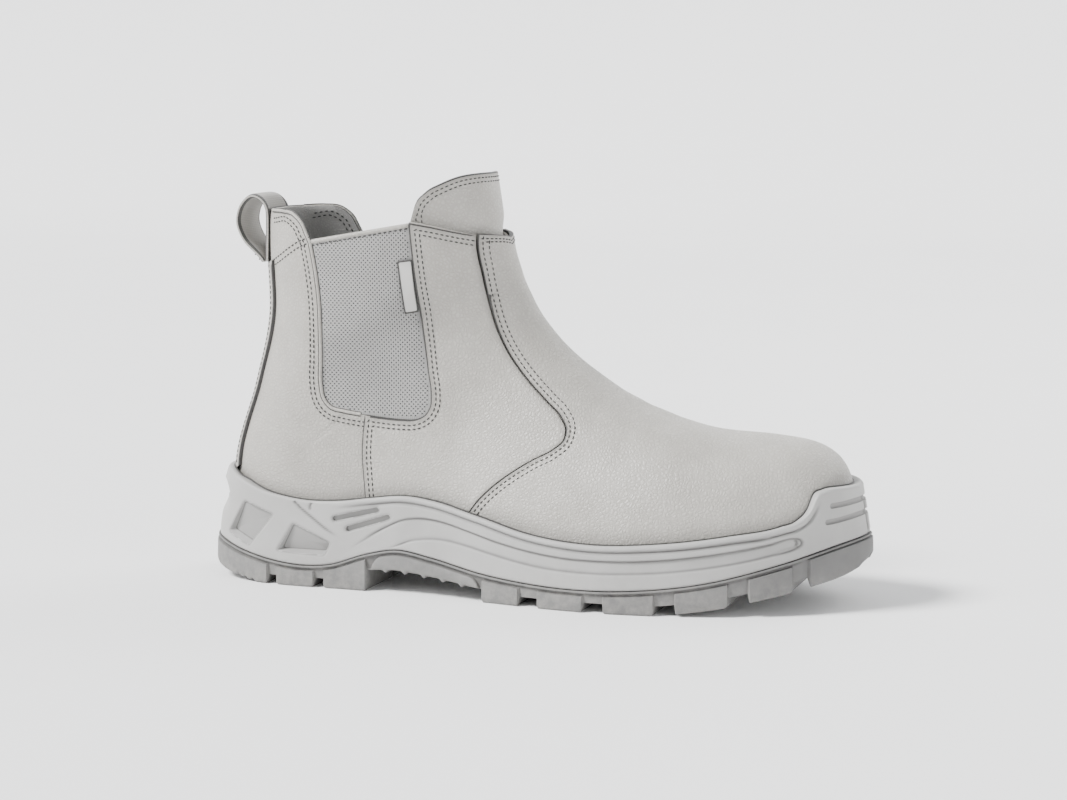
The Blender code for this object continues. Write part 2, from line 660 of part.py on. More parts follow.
def sidewall(x, z, side):
    """Point on the midsole's side at a distance from the heel and a height, and its outward direction."""
    count = len(SIDE_TURNS)
    rings = np.array(midsole_side(SIDE_TURNS))
    half = rings[:, :count]
    if side == MEDIAL:
        half = np.concatenate([rings[:, :1], rings[:, :count - 2:-1]], axis=1)
    level = np.array([at_level(half[:, k], z) for k in range(count)])
    level = level[np.argsort(level[:, 0])]
    before, y, after = np.interp((x - SLOPE_STEP, x, x + SLOPE_STEP), level[:, 0], level[:, 1])
    slope = (after - before) / (2 * SLOPE_STEP)
    outward = np.array([-slope * side, float(side), 0.0])
    return np.array([x, y, z]), outward / np.linalg.norm(outward)


def recess(name, corners, side, depth, helpers, parent):
    """Cutter that sinks a flat-floored recess into the midsole's side."""
    walls = [sidewall(x, z, side) for x, z in corners]
    middle = np.mean([w[1] for w in walls], axis=0)
    middle /= np.linalg.norm(middle)
    outside = [p + middle * RECESS_REACH for p, _ in walls]
    inside = [p - middle * depth for p, _ in walls]
    return hull(name, outside + inside, helpers, parent)


def slot_corners(start, end, radius):
    """Outline of a round-ended slot from its two end centres."""
    start, end = np.asarray(start), np.asarray(end)
    heading = math.atan2(*(end - start)[::-1])
    corners = []
    for centre, first in ((end, heading - math.pi / 2), (start, heading + math.pi / 2)):
        for k in range(4):
            angle = first + math.pi * k / 3
            corners.append(centre + radius * np.array([math.cos(angle), math.sin(angle)]))
    return corners


def toe_groove(name, start, z, helpers, parent):
    """Cutter of a half-round groove that runs round the toe bumper at one height."""
    rings = np.array(midsole_side(np.linspace(sole_turn(start), math.pi, TOE_GROOVE_POINTS)))
    route_points = [at_level(rings[:, k], z) for k in range(rings.shape[1])]
    curve = bpy.data.curves.new(name, "CURVE")
    curve.dimensions = "3D"
    curve.bevel_depth = TOE_GROOVE_RADIUS * MM
    curve.bevel_resolution = 1
    curve.use_fill_caps = True
    route = curve.splines.new("POLY")
    route.points.add(len(route_points) - 1)
    for point, place in zip(route.points, route_points):
        point.co = (*(place * MM), 1.0)
    guide = bpy.data.objects.new(name + "_route", curve)
    helpers.objects.link(guide)
    bpy.context.view_layer.update()
    mesh = bpy.data.meshes.new_from_object(guide.evaluated_get(bpy.context.evaluated_depsgraph_get()))
    bpy.data.objects.remove(guide)
    work = bmesh.new()
    work.from_mesh(mesh)
    bmesh.ops.remove_doubles(work, verts=work.verts, dist=0.02 * MM)
    bmesh.ops.recalc_face_normals(work, faces=work.faces)
    work.to_mesh(mesh)
    work.free()
    return helper(link(bpy.data.objects.new(name, mesh), helpers, parent, None))


RIM_RISE = (286.5, 288.3, 292.5)
CAVITY_DRAFT = 0.2


def midsole_stations():
    """Distances from the heel for the midsole's rungs, with more of them where the rim rises."""
    arch_start, arch_end = LUGS[2][1] + LUG_DRAFT, LUGS[3][0] - LUG_DRAFT
    ribs = np.linspace(arch_start, arch_end, ARCH_RIBS + 2)[1:-1]
    lugs = [x for x, on_lug in tread_stations() if on_lug]
    return np.array(sorted([*lugs, *ribs, *RIM_RISE]))


def on_outsole(table, x):
    """Height from a table as the outsole's flat facets show it between its own stations."""
    stations = np.array([row[0] for row in tread_stations()])
    return np.interp(x, stations, height(table, stations))


def build_midsole(boot, helpers, parent, material):
    """Foam midsole: a cup round the upper's foot, with the steps, windows, slots and grooves of its side."""
    x = midsole_stations()
    turns = sole_turn(x)
    piece = Builder()
    rim, bed = height(RIM, last_x(x, RIM_REACH)), height(FOOTBED, last_x(x, WALL))
    tray = TRAY_WALL + TRAY_MARGIN
    rings = [
        piece.add(edge_ring(turns, tray + TRAY_SLOPE, on_outsole(TRAY_BED, x) + CLEARANCE)),
        piece.add(edge_ring(turns, tray, on_outsole(SEAM, x) + CLEARANCE)),
        *(piece.add(ring) for ring in midsole_side(turns)),
    ]
    wall = cavity_offset(last_x(x, 0.0))
    for share in (0.0, 0.4, 1.0):
        level = (rim - RIM_INNER_DROP) * (1 - share) + bed * share
        rings.append(piece.add(last_ring(turns, level, wall + CAVITY_DRAFT * share)))
    piece.sheet(rings, closed=True)
    piece.across(rings[0])
    piece.across(rings[-1])
    midsole = piece.object("midsole", boot, parent, material)
    for side, word in ((LATERAL, "outer"), (MEDIAL, "inner")):
        for k, corners in enumerate(HEEL_WINDOWS):
            cut(midsole, recess(f"window_{word}_{k}", corners, side, WINDOW_DEPTH, helpers, parent))
        for k, ends in enumerate(SLOTS):
            corners = slot_corners(*ends, SLOT_RADIUS)
            cut(midsole, recess(f"slot_{word}_{k}", corners, side, SLOT_DEPTH, helpers, parent))
    for k, (start, z) in enumerate(TOE_GROOVES):
        cut(midsole, toe_groove(f"toe_groove_{k}", start, z, helpers, parent))
    return midsole


def build_insole(boot, parent, material):
    """Flat footbed inside the upper."""
    x = midsole_stations()
    turns = sole_turn(x)
    bed = height(FOOTBED, last_x(x, -WALL)) + 2 * CLEARANCE
    inside = -(WALL + 2 * CURVED_GAP)
    piece = Builder()
    rings = [piece.add(last_ring(turns, bed + rise, inside)) for rise in (0.0, INSOLE_THICKNESS)]
    piece.sheet(rings, closed=True)
    for ring in rings:
        piece.across(ring)
    return piece.object("insole", boot, parent, material)


# Upper

def solve(function, low, high):
    """Root of a rising function for arrays of brackets."""
    low, high = np.asarray(low, float).copy(), np.asarray(high, float).copy()
    for _ in range(45):
        middle = (low + high) / 2
        below = function(middle) < 0
        low, high = np.where(below, middle, low), np.where(below, high, middle)
    return (low + high) / 2


def feather_turn(s):
    """Turn at which each section reaches the footbed, or pi where it closes at the back of the heel."""
    s = np.asarray(s, float)

    def below_bed(v):
        p = last_point(s, v)
        return height(FOOTBED, p[..., 0]) + 3 * CLEARANCE - p[..., 2]

    return solve(below_bed, np.full(s.shape, 0.5), np.full(s.shape, math.pi))


FEATHER_KNOTS = np.linspace(0.0, LAST_ROW, 1200)
FEATHER = feather_turn(FEATHER_KNOTS)
HEEL_CLOSES = FEATHER_KNOTS[np.argmax(FEATHER > math.pi - 1e-4)]


def wrap_turn(s, share):
    """Turn at a share of the way from the ridge to the feather edge: -1 outer side, 1 inner side."""
    return share * np.where(s >= HEEL_CLOSES, math.pi, np.interp(s, FEATHER_KNOTS, FEATHER))


def row_at_height(table, share, low, high):
    """Section row at which the line of constant share meets a height table."""
    share = np.asarray(share, float)

    def above(s):
        p = last_point(s, wrap_turn(s, share))
        return p[..., 2] - height(table, p[..., 0])

    return solve(above, np.full(share.shape, low), np.full(share.shape, high))


UPPER_COLUMNS = 12
UPPER_ROWS_BELOW = 17
UPPER_ROWS_ABOVE = 9
UPPER_CROWDING = 0.35
UPPER_BEND_WEIGHT = 1.2
UPPER_WELD = 0.3
COLLAR_ROWS = (9.5, LAST_ROW - 0.02)


def feather_rows(count):
    """Section rows spread along the feather edge from toe to heel, closer where the edge turns."""
    s = np.linspace(0.0, HEEL_CLOSES, 800)
    edge = last_point(s, wrap_turn(s, 1.0))[:, :2]
    step = np.diff(edge, axis=0)
    run = np.concatenate([[0.0], np.cumsum(np.linalg.norm(step, axis=1))])
    heading = np.unwrap(np.arctan2(step[:, 1], step[:, 0]))
    bend = np.concatenate([[0.0, 0.0], np.cumsum(np.abs(np.diff(heading)))])
    measure = run / run[-1] + UPPER_BEND_WEIGHT * bend / bend[-1]
    return np.interp(np.linspace(0.0, measure[-1], count + 1), measure, s)


def build_upper(boot, helpers, parent, material):
    """Hollow upper: one wall from the feather edge to the collar, notched for the elastic on both sides."""
    even = np.linspace(-1.0, 1.0, 2 * UPPER_COLUMNS + 1)
    share = even - UPPER_CROWDING * np.sin(2 * math.pi * even) / (2 * math.pi)
    top = row_at_height(COLLAR, share, *COLLAR_ROWS)
    above = np.linspace(HEEL_CLOSES, top[0], UPPER_ROWS_ABOVE + 1)[1:]
    piece = Builder()
    rows = []
    for edge_row in (*feather_rows(UPPER_ROWS_BELOW), *above):
        s = edge_row / top[0] * top
        s[0] = s[-1] = edge_row
        rows.append(piece.add(last_offset(s, wrap_turn(s, share), np.zeros(s.shape))))
    piece.sheet(rows)
    upper = thicken(piece.object("upper", boot, parent, material, UPPER_WELD), WALL, -1)
    for side, word in ((LATERAL, "outer"), (MEDIAL, "inner")):
        cut(upper, gore_notch(f"gore_notch_{word}", side, helpers, parent))
    return upper


def gore_outline():
    """Outline of the elastic on the side, as x and z, from the rear top round to the front top."""
    return np.array([point for part in GORE.values() for point in part])


def gore_notch(name, side, helpers, parent):
    """Prism through one side of the upper in the shape of the elastic."""
    outline = gore_outline()
    top = np.array([[outline[-1, 0], NOTCH_TOP], [TAB_FRONT[0][0], NOTCH_TOP]])
    outline = np.vstack([outline, top, TAB_FRONT])
    piece = Builder()
    rings = []
    for reach in NOTCH_REACH:
        y = np.full(len(outline), side * reach)
        rings.append(piece.add(np.column_stack([outline[:, 0], y, outline[:, 1]])))
    piece.sheet(rings, closed=True)
    piece.faces += [tuple(ring) for ring in rings]
    return helper(piece.object(name, helpers, parent, None))


PANEL_MARGIN = 0.45


def inset_outline(outline, distance):
    """Closed outline moved inwards by a distance."""
    ahead = np.roll(outline, -1, axis=0) - outline
    behind = outline - np.roll(outline, 1, axis=0)
    ahead /= np.linalg.norm(ahead, axis=1, keepdims=True)
    behind /= np.linalg.norm(behind, axis=1, keepdims=True)
    area = np.sum(outline[:, 0] * np.roll(outline[:, 1], -1) - outline[:, 1] * np.roll(outline[:, 0], -1))
    normals = [np.column_stack([-d[:, 1], d[:, 0]]) * np.sign(area) for d in (ahead, behind)]
    middle = normals[0] + normals[1]
    middle /= np.linalg.norm(middle, axis=1, keepdims=True)
    spread = np.maximum(np.sum(middle * normals[0], axis=1, keepdims=True), 0.4)
    return outline + middle * distance / spread


def resample(points, spacing):
    """Points at about even spacing along an open line, keeping its own corners."""
    points = np.asarray(points, float)
    out = [points[:1]]
    for a, b in zip(points[:-1], points[1:]):
        count = max(1, int(round(np.linalg.norm(b - a) / spacing)))
        out.append(a + (b - a) * np.linspace(0, 1, count + 1)[1:, None])
    return np.vstack(out)


def panel(name, outline, spacing, side, outer, thickness, boot, parent, material):
    """Panel cut to an outline seen from the side and laid on the last, its outer face at the given offset."""
    outline = resample(np.vstack([outline, outline[:1]]), spacing)[:-1]
    low, high = outline.min(axis=0), outline.max(axis=0)
    inside = inset_outline(outline, PANEL_MARGIN * spacing)
    columns, rows = (np.arange(a, b, spacing) for a, b in zip(low, high))
    grid = np.stack(np.meshgrid(columns, rows), -1).reshape(-1, 2)
    points = np.vstack([outline, grid[within(grid, inside)]])
    edges = [(k, (k + 1) % len(outline)) for k in range(len(outline))]
    verts, _, faces, *_ = delaunay_2d_cdt([tuple(p) for p in points], edges, [], 1, 1e-5)
    flat = np.array([tuple(v) for v in verts])
    piece = Builder()
    numbers = piece.add(side_point(flat[:, 0], flat[:, 1], side, outer))
    piece.faces = [tuple(numbers[k] for k in face) for face in faces]
    made = piece.object(name, boot, parent, material)
    face_outwards(made, side)
    return thicken(made, thickness, -1)


def within(points, outline):
    """Which points lie inside a closed outline."""
    inside = np.zeros(len(points), bool)
    for a, b in zip(outline, np.roll(outline, -1, axis=0)):
        crosses = (a[1] > points[:, 1]) != (b[1] > points[:, 1])
        rise = b[1] - a[1] if abs(b[1] - a[1]) > 1e-12 else 1e-12
        inside ^= crosses & (points[:, 0] < (b[0] - a[0]) * (points[:, 1] - a[1]) / rise + a[0])
    return inside


def face_outwards(thing, side):
    """Turns an open panel so that its faces point away from the foot."""
    lean = sum(face.normal.y * face.area for face in thing.data.polygons) * side
    if lean < 0:
        thing.data.flip_normals()


def build_gore(side, word, boot, parent, material):
    """Elastic side panel, a little behind the leather round it."""
    outline = inset_outline(gore_outline(), CURVED_GAP)
    name = f"gore_{word}"
    return panel(name, outline, PANEL_SPACING, side, -GORE_RECESS, GORE_THICKNESS, boot, parent, material)


def beside(line, distance):
    """Open line moved to the right of its own direction by a distance."""
    run = np.gradient(line, axis=0)
    run /= np.linalg.norm(run, axis=1, keepdims=True)
    return line + np.column_stack([run[:, 1], -run[:, 0]]) * distance


def seam_to_rim(seam):
    """A seam's points above the level where panels end under the midsole's rim."""
    seam = np.asarray(seam, float)
    return seam[seam[:, 1] > height(RIM, seam[:, 0]) - RIM_TUCK]


def build_quarter(side, word, boot, parent, material):
    """Front quarter: from the elastic to the vamp seam, down to under the midsole's rim."""
    vamp = seam_to_rim(VAMP_SEAM)
    rear = seam_to_rim(QUARTER_SEAM)
    foot_x = np.linspace(vamp[-1, 0] - 1.0, rear[-1, 0], 8)
    foot = np.column_stack([foot_x, height(RIM, foot_x) - RIM_TUCK])
    front_edge = beside(vamp, SEAM_GAP)
    gore_front = np.array([*GORE["foot"][2:], *GORE["front foot"], *GORE["front"]])
    outline = np.vstack([front_edge[:0:-1], QUARTER_TOP[::-1], gore_front[-2::-1], rear, foot[::-1][1:-1]])
    name, outer = f"quarter_{word}", PANEL_GAP + QUARTER_STEP
    return panel(name, outline, PANEL_SPACING, side, outer, QUARTER_STEP, boot, parent, material)


VAMP_ROWS = 12
VAMP_TOE_SHARE = 0.72
VAMP_RIDGE_POWER = 1.25
VAMP_ROW_POWER = 0.9


def build_vamp(boot, parent, material):
    """Vamp: over the toe and instep from seam to seam, one piece across both sides."""
    seam = np.asarray(VAMP_SEAM)
    seam_row, seam_turn = find_on_last(seam[:, 0], seam[:, 1], MEDIAL)
    seam_share = seam_turn / wrap_turn(seam_row, 1.0)
    run = np.concatenate([[0.0], np.cumsum(np.linalg.norm(np.diff(seam, axis=0), axis=1))])
    along = run / run[-1]
    collar_front = float(row_at_height(COLLAR, np.zeros(1), *COLLAR_ROWS)[0])
    down_ridge = np.clip(along / VAMP_TOE_SHARE, 0.0, 1.0)
    ridge_row = collar_front * (1 - down_ridge) ** VAMP_RIDGE_POWER
    round_toe = np.clip((along - VAMP_TOE_SHARE) / (1 - VAMP_TOE_SHARE), 0.0, 1.0)
    ridge_share = seam_share[-1] * round_toe
    piece = Builder()
    for side in (LATERAL, MEDIAL):
        rows = []
        for step in np.linspace(0.0, 1.0, VAMP_ROWS) ** VAMP_ROW_POWER:
            at = ridge_row + (seam_row - ridge_row) * step
            turn = side * wrap_turn(at, ridge_share + (seam_share - ridge_share) * step)
            rows.append(piece.add(last_offset(at, turn, np.full(at.shape, PANEL_GAP + VAMP_STEP))))
        piece.sheet(rows)
    return thicken(piece.object("vamp", boot, parent, material), VAMP_STEP, -1)


def build_flap(boot, parent, material):
    """Front peak: a tongue of leather inside the collar that stands above it at the front."""
    corner = find_on_last(*FLAP_TOP[1], MEDIAL)[1]
    turns = np.linspace(-corner, corner, FLAP_COLUMNS)

    def above(s):
        p = last_point(s, turns)
        return p[..., 2] - height(FLAP_TOP, p[..., 0])

    top = solve(above, np.full(turns.shape, FLAP_FOOT + 0.5), np.full(turns.shape, float(LAST_ROW)))
    inside = -(WALL + PANEL_GAP)
    piece = Builder()
    rows = []
    for step in np.linspace(0.0, 1.0, FLAP_ROWS):
        at = FLAP_FOOT + (top - FLAP_FOOT) * step
        rows.append(piece.add(last_offset(at, turns, np.full(at.shape, inside))))
    piece.sheet(rows)
    made = piece.object("front_flap", boot, parent, material)
    forward = sum(face.normal.x * face.area for face in made.data.polygons)
    if forward < 0:
        made.data.flip_normals()
    return thicken(made, FLAP_THICKNESS, -1)


def build_back_strip(boot, parent, material):
    """Strip that covers the back seam from the midsole's rim to the pull loop."""
    foot = height(RIM, SECTIONS["heel"][SECTION_COLUMNS.index("keel_x")]) - RIM_TUCK
    heights = np.linspace(foot, LOOP_PATH[0][1] - STRIP_STOP, STRIP_ROWS)
    across = np.linspace(-1.0, 1.0, STRIP_COLUMNS)
    rows_of_last = np.interp(heights, PROFILE["keel_z"][HEEL_ROWS], PROFILE_ROWS[HEEL_ROWS])
    piece = Builder()
    rows = []
    for s in rows_of_last:
        c = section(np.array(s))
        reach = STRIP_HALF_WIDTH / float(c["medial"])
        angle = np.arcsin(np.clip(np.abs(across) * reach, 0, 1) ** (float(c["keel_power"]) / 2))
        v = np.where(across < 0, -(math.pi - angle), math.pi - angle)
        at = np.full(v.shape, s)
        rows.append(piece.add(last_offset(at, v, np.full(v.shape, CURVED_GAP + STRIP_THICKNESS))))
    piece.sheet(rows)
    made = piece.object("back_strip", boot, parent, material)
    backward = sum(face.normal.x * face.area for face in made.data.polygons)
    if backward > 0:
        made.data.flip_normals()
    return thicken(made, STRIP_THICKNESS, -1)


def build_pull_loop(boot, parent, material):
    """Strap loop at the back of the collar, both ends at the head of the back strip."""
    path = np.asarray(LOOP_PATH)
    knots = np.arange(len(path), dtype=float)
    along = np.linspace(0.0, len(path) - 1.0, LOOP_ROWS)
    route = through(knots, path, along)
    lies_on_leather = ramp(along, *LOOP_INNER_END) + (1 - ramp(along, *LOOP_OUTER_END))
    across = np.linspace(-LOOP_WIDTH / 2, LOOP_WIDTH / 2, LOOP_COLUMNS)
    piece = Builder()
    rows = []
    for (x, z), lies in zip(route, lies_on_leather):
        bow = lies * across**2 / (2 * LOOP_CURVE_RADIUS)
        rows.append(piece.add(np.column_stack([x + bow, across, np.full(len(across), z)])))
    piece.sheet(rows)
    return thicken(piece.object("pull_loop", boot, parent, material), LOOP_THICKNESS, 0)


def build_label(boot, parent, material):
    """Blank woven tab, caught in the seam at the elastic's front edge."""
    outline = np.array(LABEL)
    outer = -GORE_RECESS + CLEARANCE + LABEL_THICKNESS
    return panel("label_tab", outline, LABEL_SPACING, LATERAL, outer, LABEL_THICKNESS, boot, parent, material)


def main():
    """Clears the scene and builds every piece under one empty at the boot's own origin."""
    for thing in list(bpy.data.objects):
        bpy.data.objects.remove(thing)
    scene = bpy.context.scene.collection
    boot = bpy.data.collections.new("ankle_boot")
    helpers = bpy.data.collections.new("cutters")
    scene.children.link(boot)
    scene.children.link(helpers)
    turns = np.linspace(0.0, math.pi, 400)
    sideways = (sole_edge(turns, LATERAL)[:, 1].min() + sole_edge(turns, MEDIAL)[:, 1].max()) / 2
    origin = bpy.data.objects.new("boot_origin", None)
    origin.location = (-LENGTH / 2 * MM, -sideways * MM, 0.0)
    boot.objects.link(origin)

    pale = finish("pale_leather", (0.66, 0.63, 0.58), 0.55)
    elastic = finish("grey_elastic", (0.30, 0.30, 0.30), 0.85)
    foam = finish("pale_foam", (0.60, 0.59, 0.56), 0.6)
    rubber = finish("grey_rubber", (0.33, 0.33, 0.33), 0.7)
    webbing = finish("pale_webbing", (0.58, 0.56, 0.52), 0.8)
    lining = finish("insole_cloth", (0.35, 0.35, 0.36), 0.9)

    build_outsole(boot, origin, rubber)
    build_midsole(boot, helpers, origin, foam)
    build_insole(boot, origin, lining)
    build_upper(boot, helpers, origin, pale)
    build_vamp(boot, origin, pale)
    for side, word in ((LATERAL, "outer"), (MEDIAL, "inner")):
        build_quarter(side, word, boot, origin, pale)
        build_gore(side, word, boot, origin, elastic)
    build_flap(boot, origin, pale)
    build_back_strip(boot, origin, pale)
    build_pull_loop(boot, origin, webbing)
    build_label(boot, origin, webbing)


main()
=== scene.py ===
"""Looks of a right-foot pull-on leather ankle boot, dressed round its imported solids.

Sizes are in millimetres from the heel's back edge on the floor: x to the toe, y to the inner side, z up.
They become metres in the model's own frame where the meshes are made.
"""

import logging
import math
from collections.abc import Callable
from dataclasses import dataclass, field
from enum import Enum

import bmesh
import bpy
import numpy as np
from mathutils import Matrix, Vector
from mathutils.geometry import delaunay_2d_cdt
from mathutils.kdtree import KDTree

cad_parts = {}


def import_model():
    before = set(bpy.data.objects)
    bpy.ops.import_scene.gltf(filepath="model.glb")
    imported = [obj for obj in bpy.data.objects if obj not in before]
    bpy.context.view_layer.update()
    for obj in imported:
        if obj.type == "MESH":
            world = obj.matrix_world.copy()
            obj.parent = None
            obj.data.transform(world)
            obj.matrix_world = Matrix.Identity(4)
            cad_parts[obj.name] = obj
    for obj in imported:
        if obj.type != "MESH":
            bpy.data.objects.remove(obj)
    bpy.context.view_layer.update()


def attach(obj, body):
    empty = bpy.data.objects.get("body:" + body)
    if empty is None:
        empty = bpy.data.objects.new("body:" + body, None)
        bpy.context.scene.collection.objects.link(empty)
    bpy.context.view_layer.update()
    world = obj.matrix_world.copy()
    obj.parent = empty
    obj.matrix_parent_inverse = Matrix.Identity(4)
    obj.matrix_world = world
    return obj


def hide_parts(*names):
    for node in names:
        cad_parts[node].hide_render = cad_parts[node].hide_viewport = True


LOG = logging.getLogger("ankle_boot")
MM = 0.001
BODY = "root"
# Vertex attribute of painted shade: how far a piece's colour is darkened in grooves, recesses, creases and
# along edges and joins.
PAINTED_SHADE = "grime"

Array = np.ndarray
Table = tuple[tuple[float, ...], ...]
Colour = tuple[float, float, float]

# Form of the boot

LENGTH = 310.0
WALL = 2.0

SECTION_COLUMNS = (
    "top_x", "top_z", "keel_x", "keel_z", "ridge", "lateral", "medial", "widest", "top_power", "keel_power",
)
SECTIONS = {
    "toe front": (299.7, 41.0, 299.7, 8.0, 6.0, 0.0, 0.0, 0.74, 2.3, 4.0),
    "toe rise": (296.2, 58.4, 295.0, 4.0, 6.0, 17.5, 15.5, 0.70, 2.3, 4.0),
    "toe cap": (285.5, 67.6, 282.0, 0.0, 5.5, 32.0, 27.0, 0.68, 2.3, 4.0),
    "toe crown": (264.8, 71.2, 258.0, -4.0, 4.5, 43.0, 38.5, 0.68, 2.25, 4.0),
    "ball": (234.7, 73.8, 219.0, -8.0, 3.5, 51.0, 43.0, 0.72, 2.2, 4.0),
    "vamp": (202.1, 85.1, 172.0, -10.0, 3.0, 51.0, 39.0, 0.78, 2.05, 4.0),
    "instep": (174.7, 102.9, 122.0, -12.0, 2.5, 44.0, 32.0, 0.80, 2.0, 3.5),
    "waist": (158.5, 119.6, 72.0, -12.0, 2.0, 37.0, 30.5, 0.76, 2.0, 3.0),
    "heel seat": (149.6, 135.0, 18.5, 5.0, 1.0, 33.5, 31.5, 0.68, 2.05, 2.6),
    "heel": (145.4, 146.2, 10.9, 48.0, 0.5, 32.5, 32.0, 0.62, 2.1, 2.3),
    "counter": (142.8, 154.9, 22.0, 88.0, 0.0, 33.5, 33.0, 0.56, 2.15, 2.25),
    "ankle": (141.0, 163.0, 29.2, 120.0, 0.0, 34.0, 33.5, 0.52, 2.2, 2.25),
    "collar": (138.8, 174.8, 28.8, 153.0, 0.0, 35.0, 34.5, 0.50, 2.2, 2.25),
    "peak": (135.5, 195.0, 30.0, 190.0, 0.0, 36.0, 35.5, 0.50, 2.2, 2.25),
}
OUTLINE_COLUMNS = ("x", "lateral", "medial")
OUTLINE = (
    (0.0, 0.0, 0.0), (10.0, -24.5, 24.5), (25.0, -33.5, 33.0), (45.0, -38.0, 36.5), (80.0, -39.5, 36.0),
    (110.0, -41.5, 37.5), (150.0, -48.5, 43.0), (180.0, -54.0, 49.5), (205.0, -55.5, 53.5),
    (230.0, -53.0, 54.5), (260.0, -45.5, 51.0), (285.0, -33.0, 41.5), (300.0, -18.0, 28.0), (310.0, 6.0, 6.0),
)
RIM = (
    (0.0, 51.0), (9.0, 50.5), (18.0, 47.4), (25.0, 44.8), (32.0, 42.5), (42.0, 40.6), (55.0, 39.3),
    (70.0, 39.9), (87.0, 42.2), (104.0, 44.0), (120.0, 42.6), (142.0, 37.9), (168.0, 31.9), (197.0, 29.2),
    (228.0, 30.8), (259.0, 34.8), (280.0, 38.7), (285.5, 40.8), (289.5, 45.2), (292.3, 51.6), (295.5, 53.4),
    (302.0, 53.6), (310.0, 51.8),
)
SEAM = (
    (0.0, 18.8), (8.0, 17.6), (22.0, 14.2), (43.0, 10.4), (56.0, 9.5), (69.0, 10.6), (88.0, 16.7),
    (102.0, 19.4), (119.0, 17.2), (145.0, 12.2), (173.0, 9.7), (212.0, 9.9), (247.0, 14.1), (280.0, 22.6),
    (303.0, 29.6), (310.0, 31.2),
)
FLOOR_LINE = (
    (0.0, 9.0), (4.0, 6.2), (10.0, 4.2), (20.0, 2.2), (36.0, 0.0), (60.0, 0.0), (100.0, 0.0), (150.0, 0.0),
    (200.0, 0.0), (227.0, 0.0), (240.0, 1.6), (257.0, 4.2), (268.0, 6.6), (283.0, 10.1), (292.0, 12.5),
    (300.0, 14.7), (305.0, 16.8), (308.0, 18.9), (310.0, 22.6),
)
ARCH = ((87.0, 9.5), (100.0, 10.4), (119.0, 9.0), (146.0, 5.6))
FOOTBED = (
    (0.0, 24.0), (40.0, 23.5), (80.0, 23.2), (105.0, 22.6), (140.0, 19.4), (170.0, 15.5), (200.0, 14.5),
    (225.0, 15.0), (247.0, 17.6), (263.0, 21.3), (280.0, 26.0), (300.0, 31.5), (310.0, 34.0),
)
COLLAR = (
    (15.0, 170.0), (62.0, 170.0), (80.0, 168.6), (106.8, 166.6), (115.8, 164.9), (125.5, 162.5),
    (133.9, 160.4), (137.2, 159.9), (142.0, 158.7), (150.0, 157.0),
)
BAND_LOW = (
    (97.0, 19.9), (102.0, 21.4), (109.0, 24.1), (115.0, 25.4), (120.0, 25.9), (128.0, 25.7), (137.0, 24.3),
    (150.0, 21.6), (163.0, 19.3), (176.0, 17.8), (188.0, 17.2), (200.0, 17.1), (214.0, 17.7), (228.0, 18.7),
    (244.0, 20.6), (255.0, 22.3), (265.0, 24.2), (274.0, 26.4), (284.6, 29.7),
)
BAND_HIGH = (
    (78.0, 18.0), (84.0, 21.6), (92.0, 26.8), (99.0, 30.5), (106.0, 33.4), (114.0, 34.6), (124.0, 33.9),
    (137.0, 31.0), (150.0, 27.7), (163.0, 25.2), (176.0, 23.5), (188.0, 22.6), (200.0, 22.5), (214.0, 22.9),
    (228.0, 24.0), (244.0, 25.9), (254.0, 27.4), (265.0, 29.4), (274.0, 31.3), (283.4, 33.5),
)
BAND_END = ((285.2, 33.2), (286.0, 32.1), (285.8, 30.6))
LUGS = (
    (0.0, 37.5), (43.0, 61.3), (66.8, 87.2), (145.8, 163.4), (173.2, 194.0), (204.0, 225.8), (235.6, 257.0),
    (266.2, 282.8), (290.0, 310.0),
)
GORE = (
    (58.9, 157.1), (61.3, 144.9), (63.0, 131.7), (63.8, 118.5), (64.0, 105.2), (63.7, 92.0), (64.9, 86.0),
    (68.2, 82.2), (75.0, 80.5), (84.3, 79.2), (93.0, 78.2), (102.6, 77.6), (108.2, 77.8), (112.8, 79.9),
    (115.1, 83.9), (115.2, 88.8), (113.4, 99.5), (110.8, 119.5), (108.9, 139.6), (106.8, 165.2),
)
TAB_FRONT = ((44.0, 171.5), (49.7, 169.2), (54.5, 165.3), (57.1, 160.4))
QUARTER_TOP = ((106.8, 166.4), (115.8, 164.7), (125.5, 162.3), (132.6, 160.6))
QUARTER_SEAM = ((84.8, 79.1), (83.9, 70.1), (83.7, 61.7), (84.6, 51.4), (86.4, 36.0))
VAMP_SEAM = (
    (133.7, 161.3), (133.6, 156.0), (134.8, 146.5), (137.7, 132.3), (142.5, 118.1), (148.2, 107.9),
    (157.1, 97.2), (168.3, 86.9), (175.6, 80.6), (179.1, 75.0), (178.7, 70.7), (174.9, 67.1), (165.7, 62.1),
    (155.7, 55.8), (146.8, 48.8), (141.3, 43.2), (135.4, 34.6),
)
LINING_SEAM = ((33.2, 146.3), (40.2, 149.8), (47.0, 153.8), (53.0, 157.0), (58.0, 158.8))
LABEL = ((101.6, 148.9), (107.6, 149.7), (109.2, 126.8), (103.8, 125.8))
FLAP_TOP = (
    (100.0, 150.0), (107.2, 166.9), (109.5, 174.4), (113.6, 179.6), (120.7, 184.0), (127.9, 187.1),
    (134.1, 188.3), (145.0, 188.1),
)
LOOP_PATH = (
    (24.9, 146.0), (21.8, 151.0), (17.0, 156.8), (14.4, 163.8), (15.9, 170.9), (20.4, 175.7), (24.8, 175.2),
    (27.0, 170.0), (27.2, 160.0), (27.0, 152.0), (26.9, 146.0),
)
HEEL_WINDOWS = (
    ((24.4, 37.0), (40.4, 32.0), (27.0, 16.4), (14.3, 21.6)),
    ((50.8, 28.6), (69.5, 20.8), (66.6, 14.8), (42.4, 15.5)),
)
WINDOW_FLOOR = ((0.3, -0.3, 0.6), (-0.3, -0.3, 0.6), (0.6, 2.2, 2.9), (2.2, 1.1, 2.9))
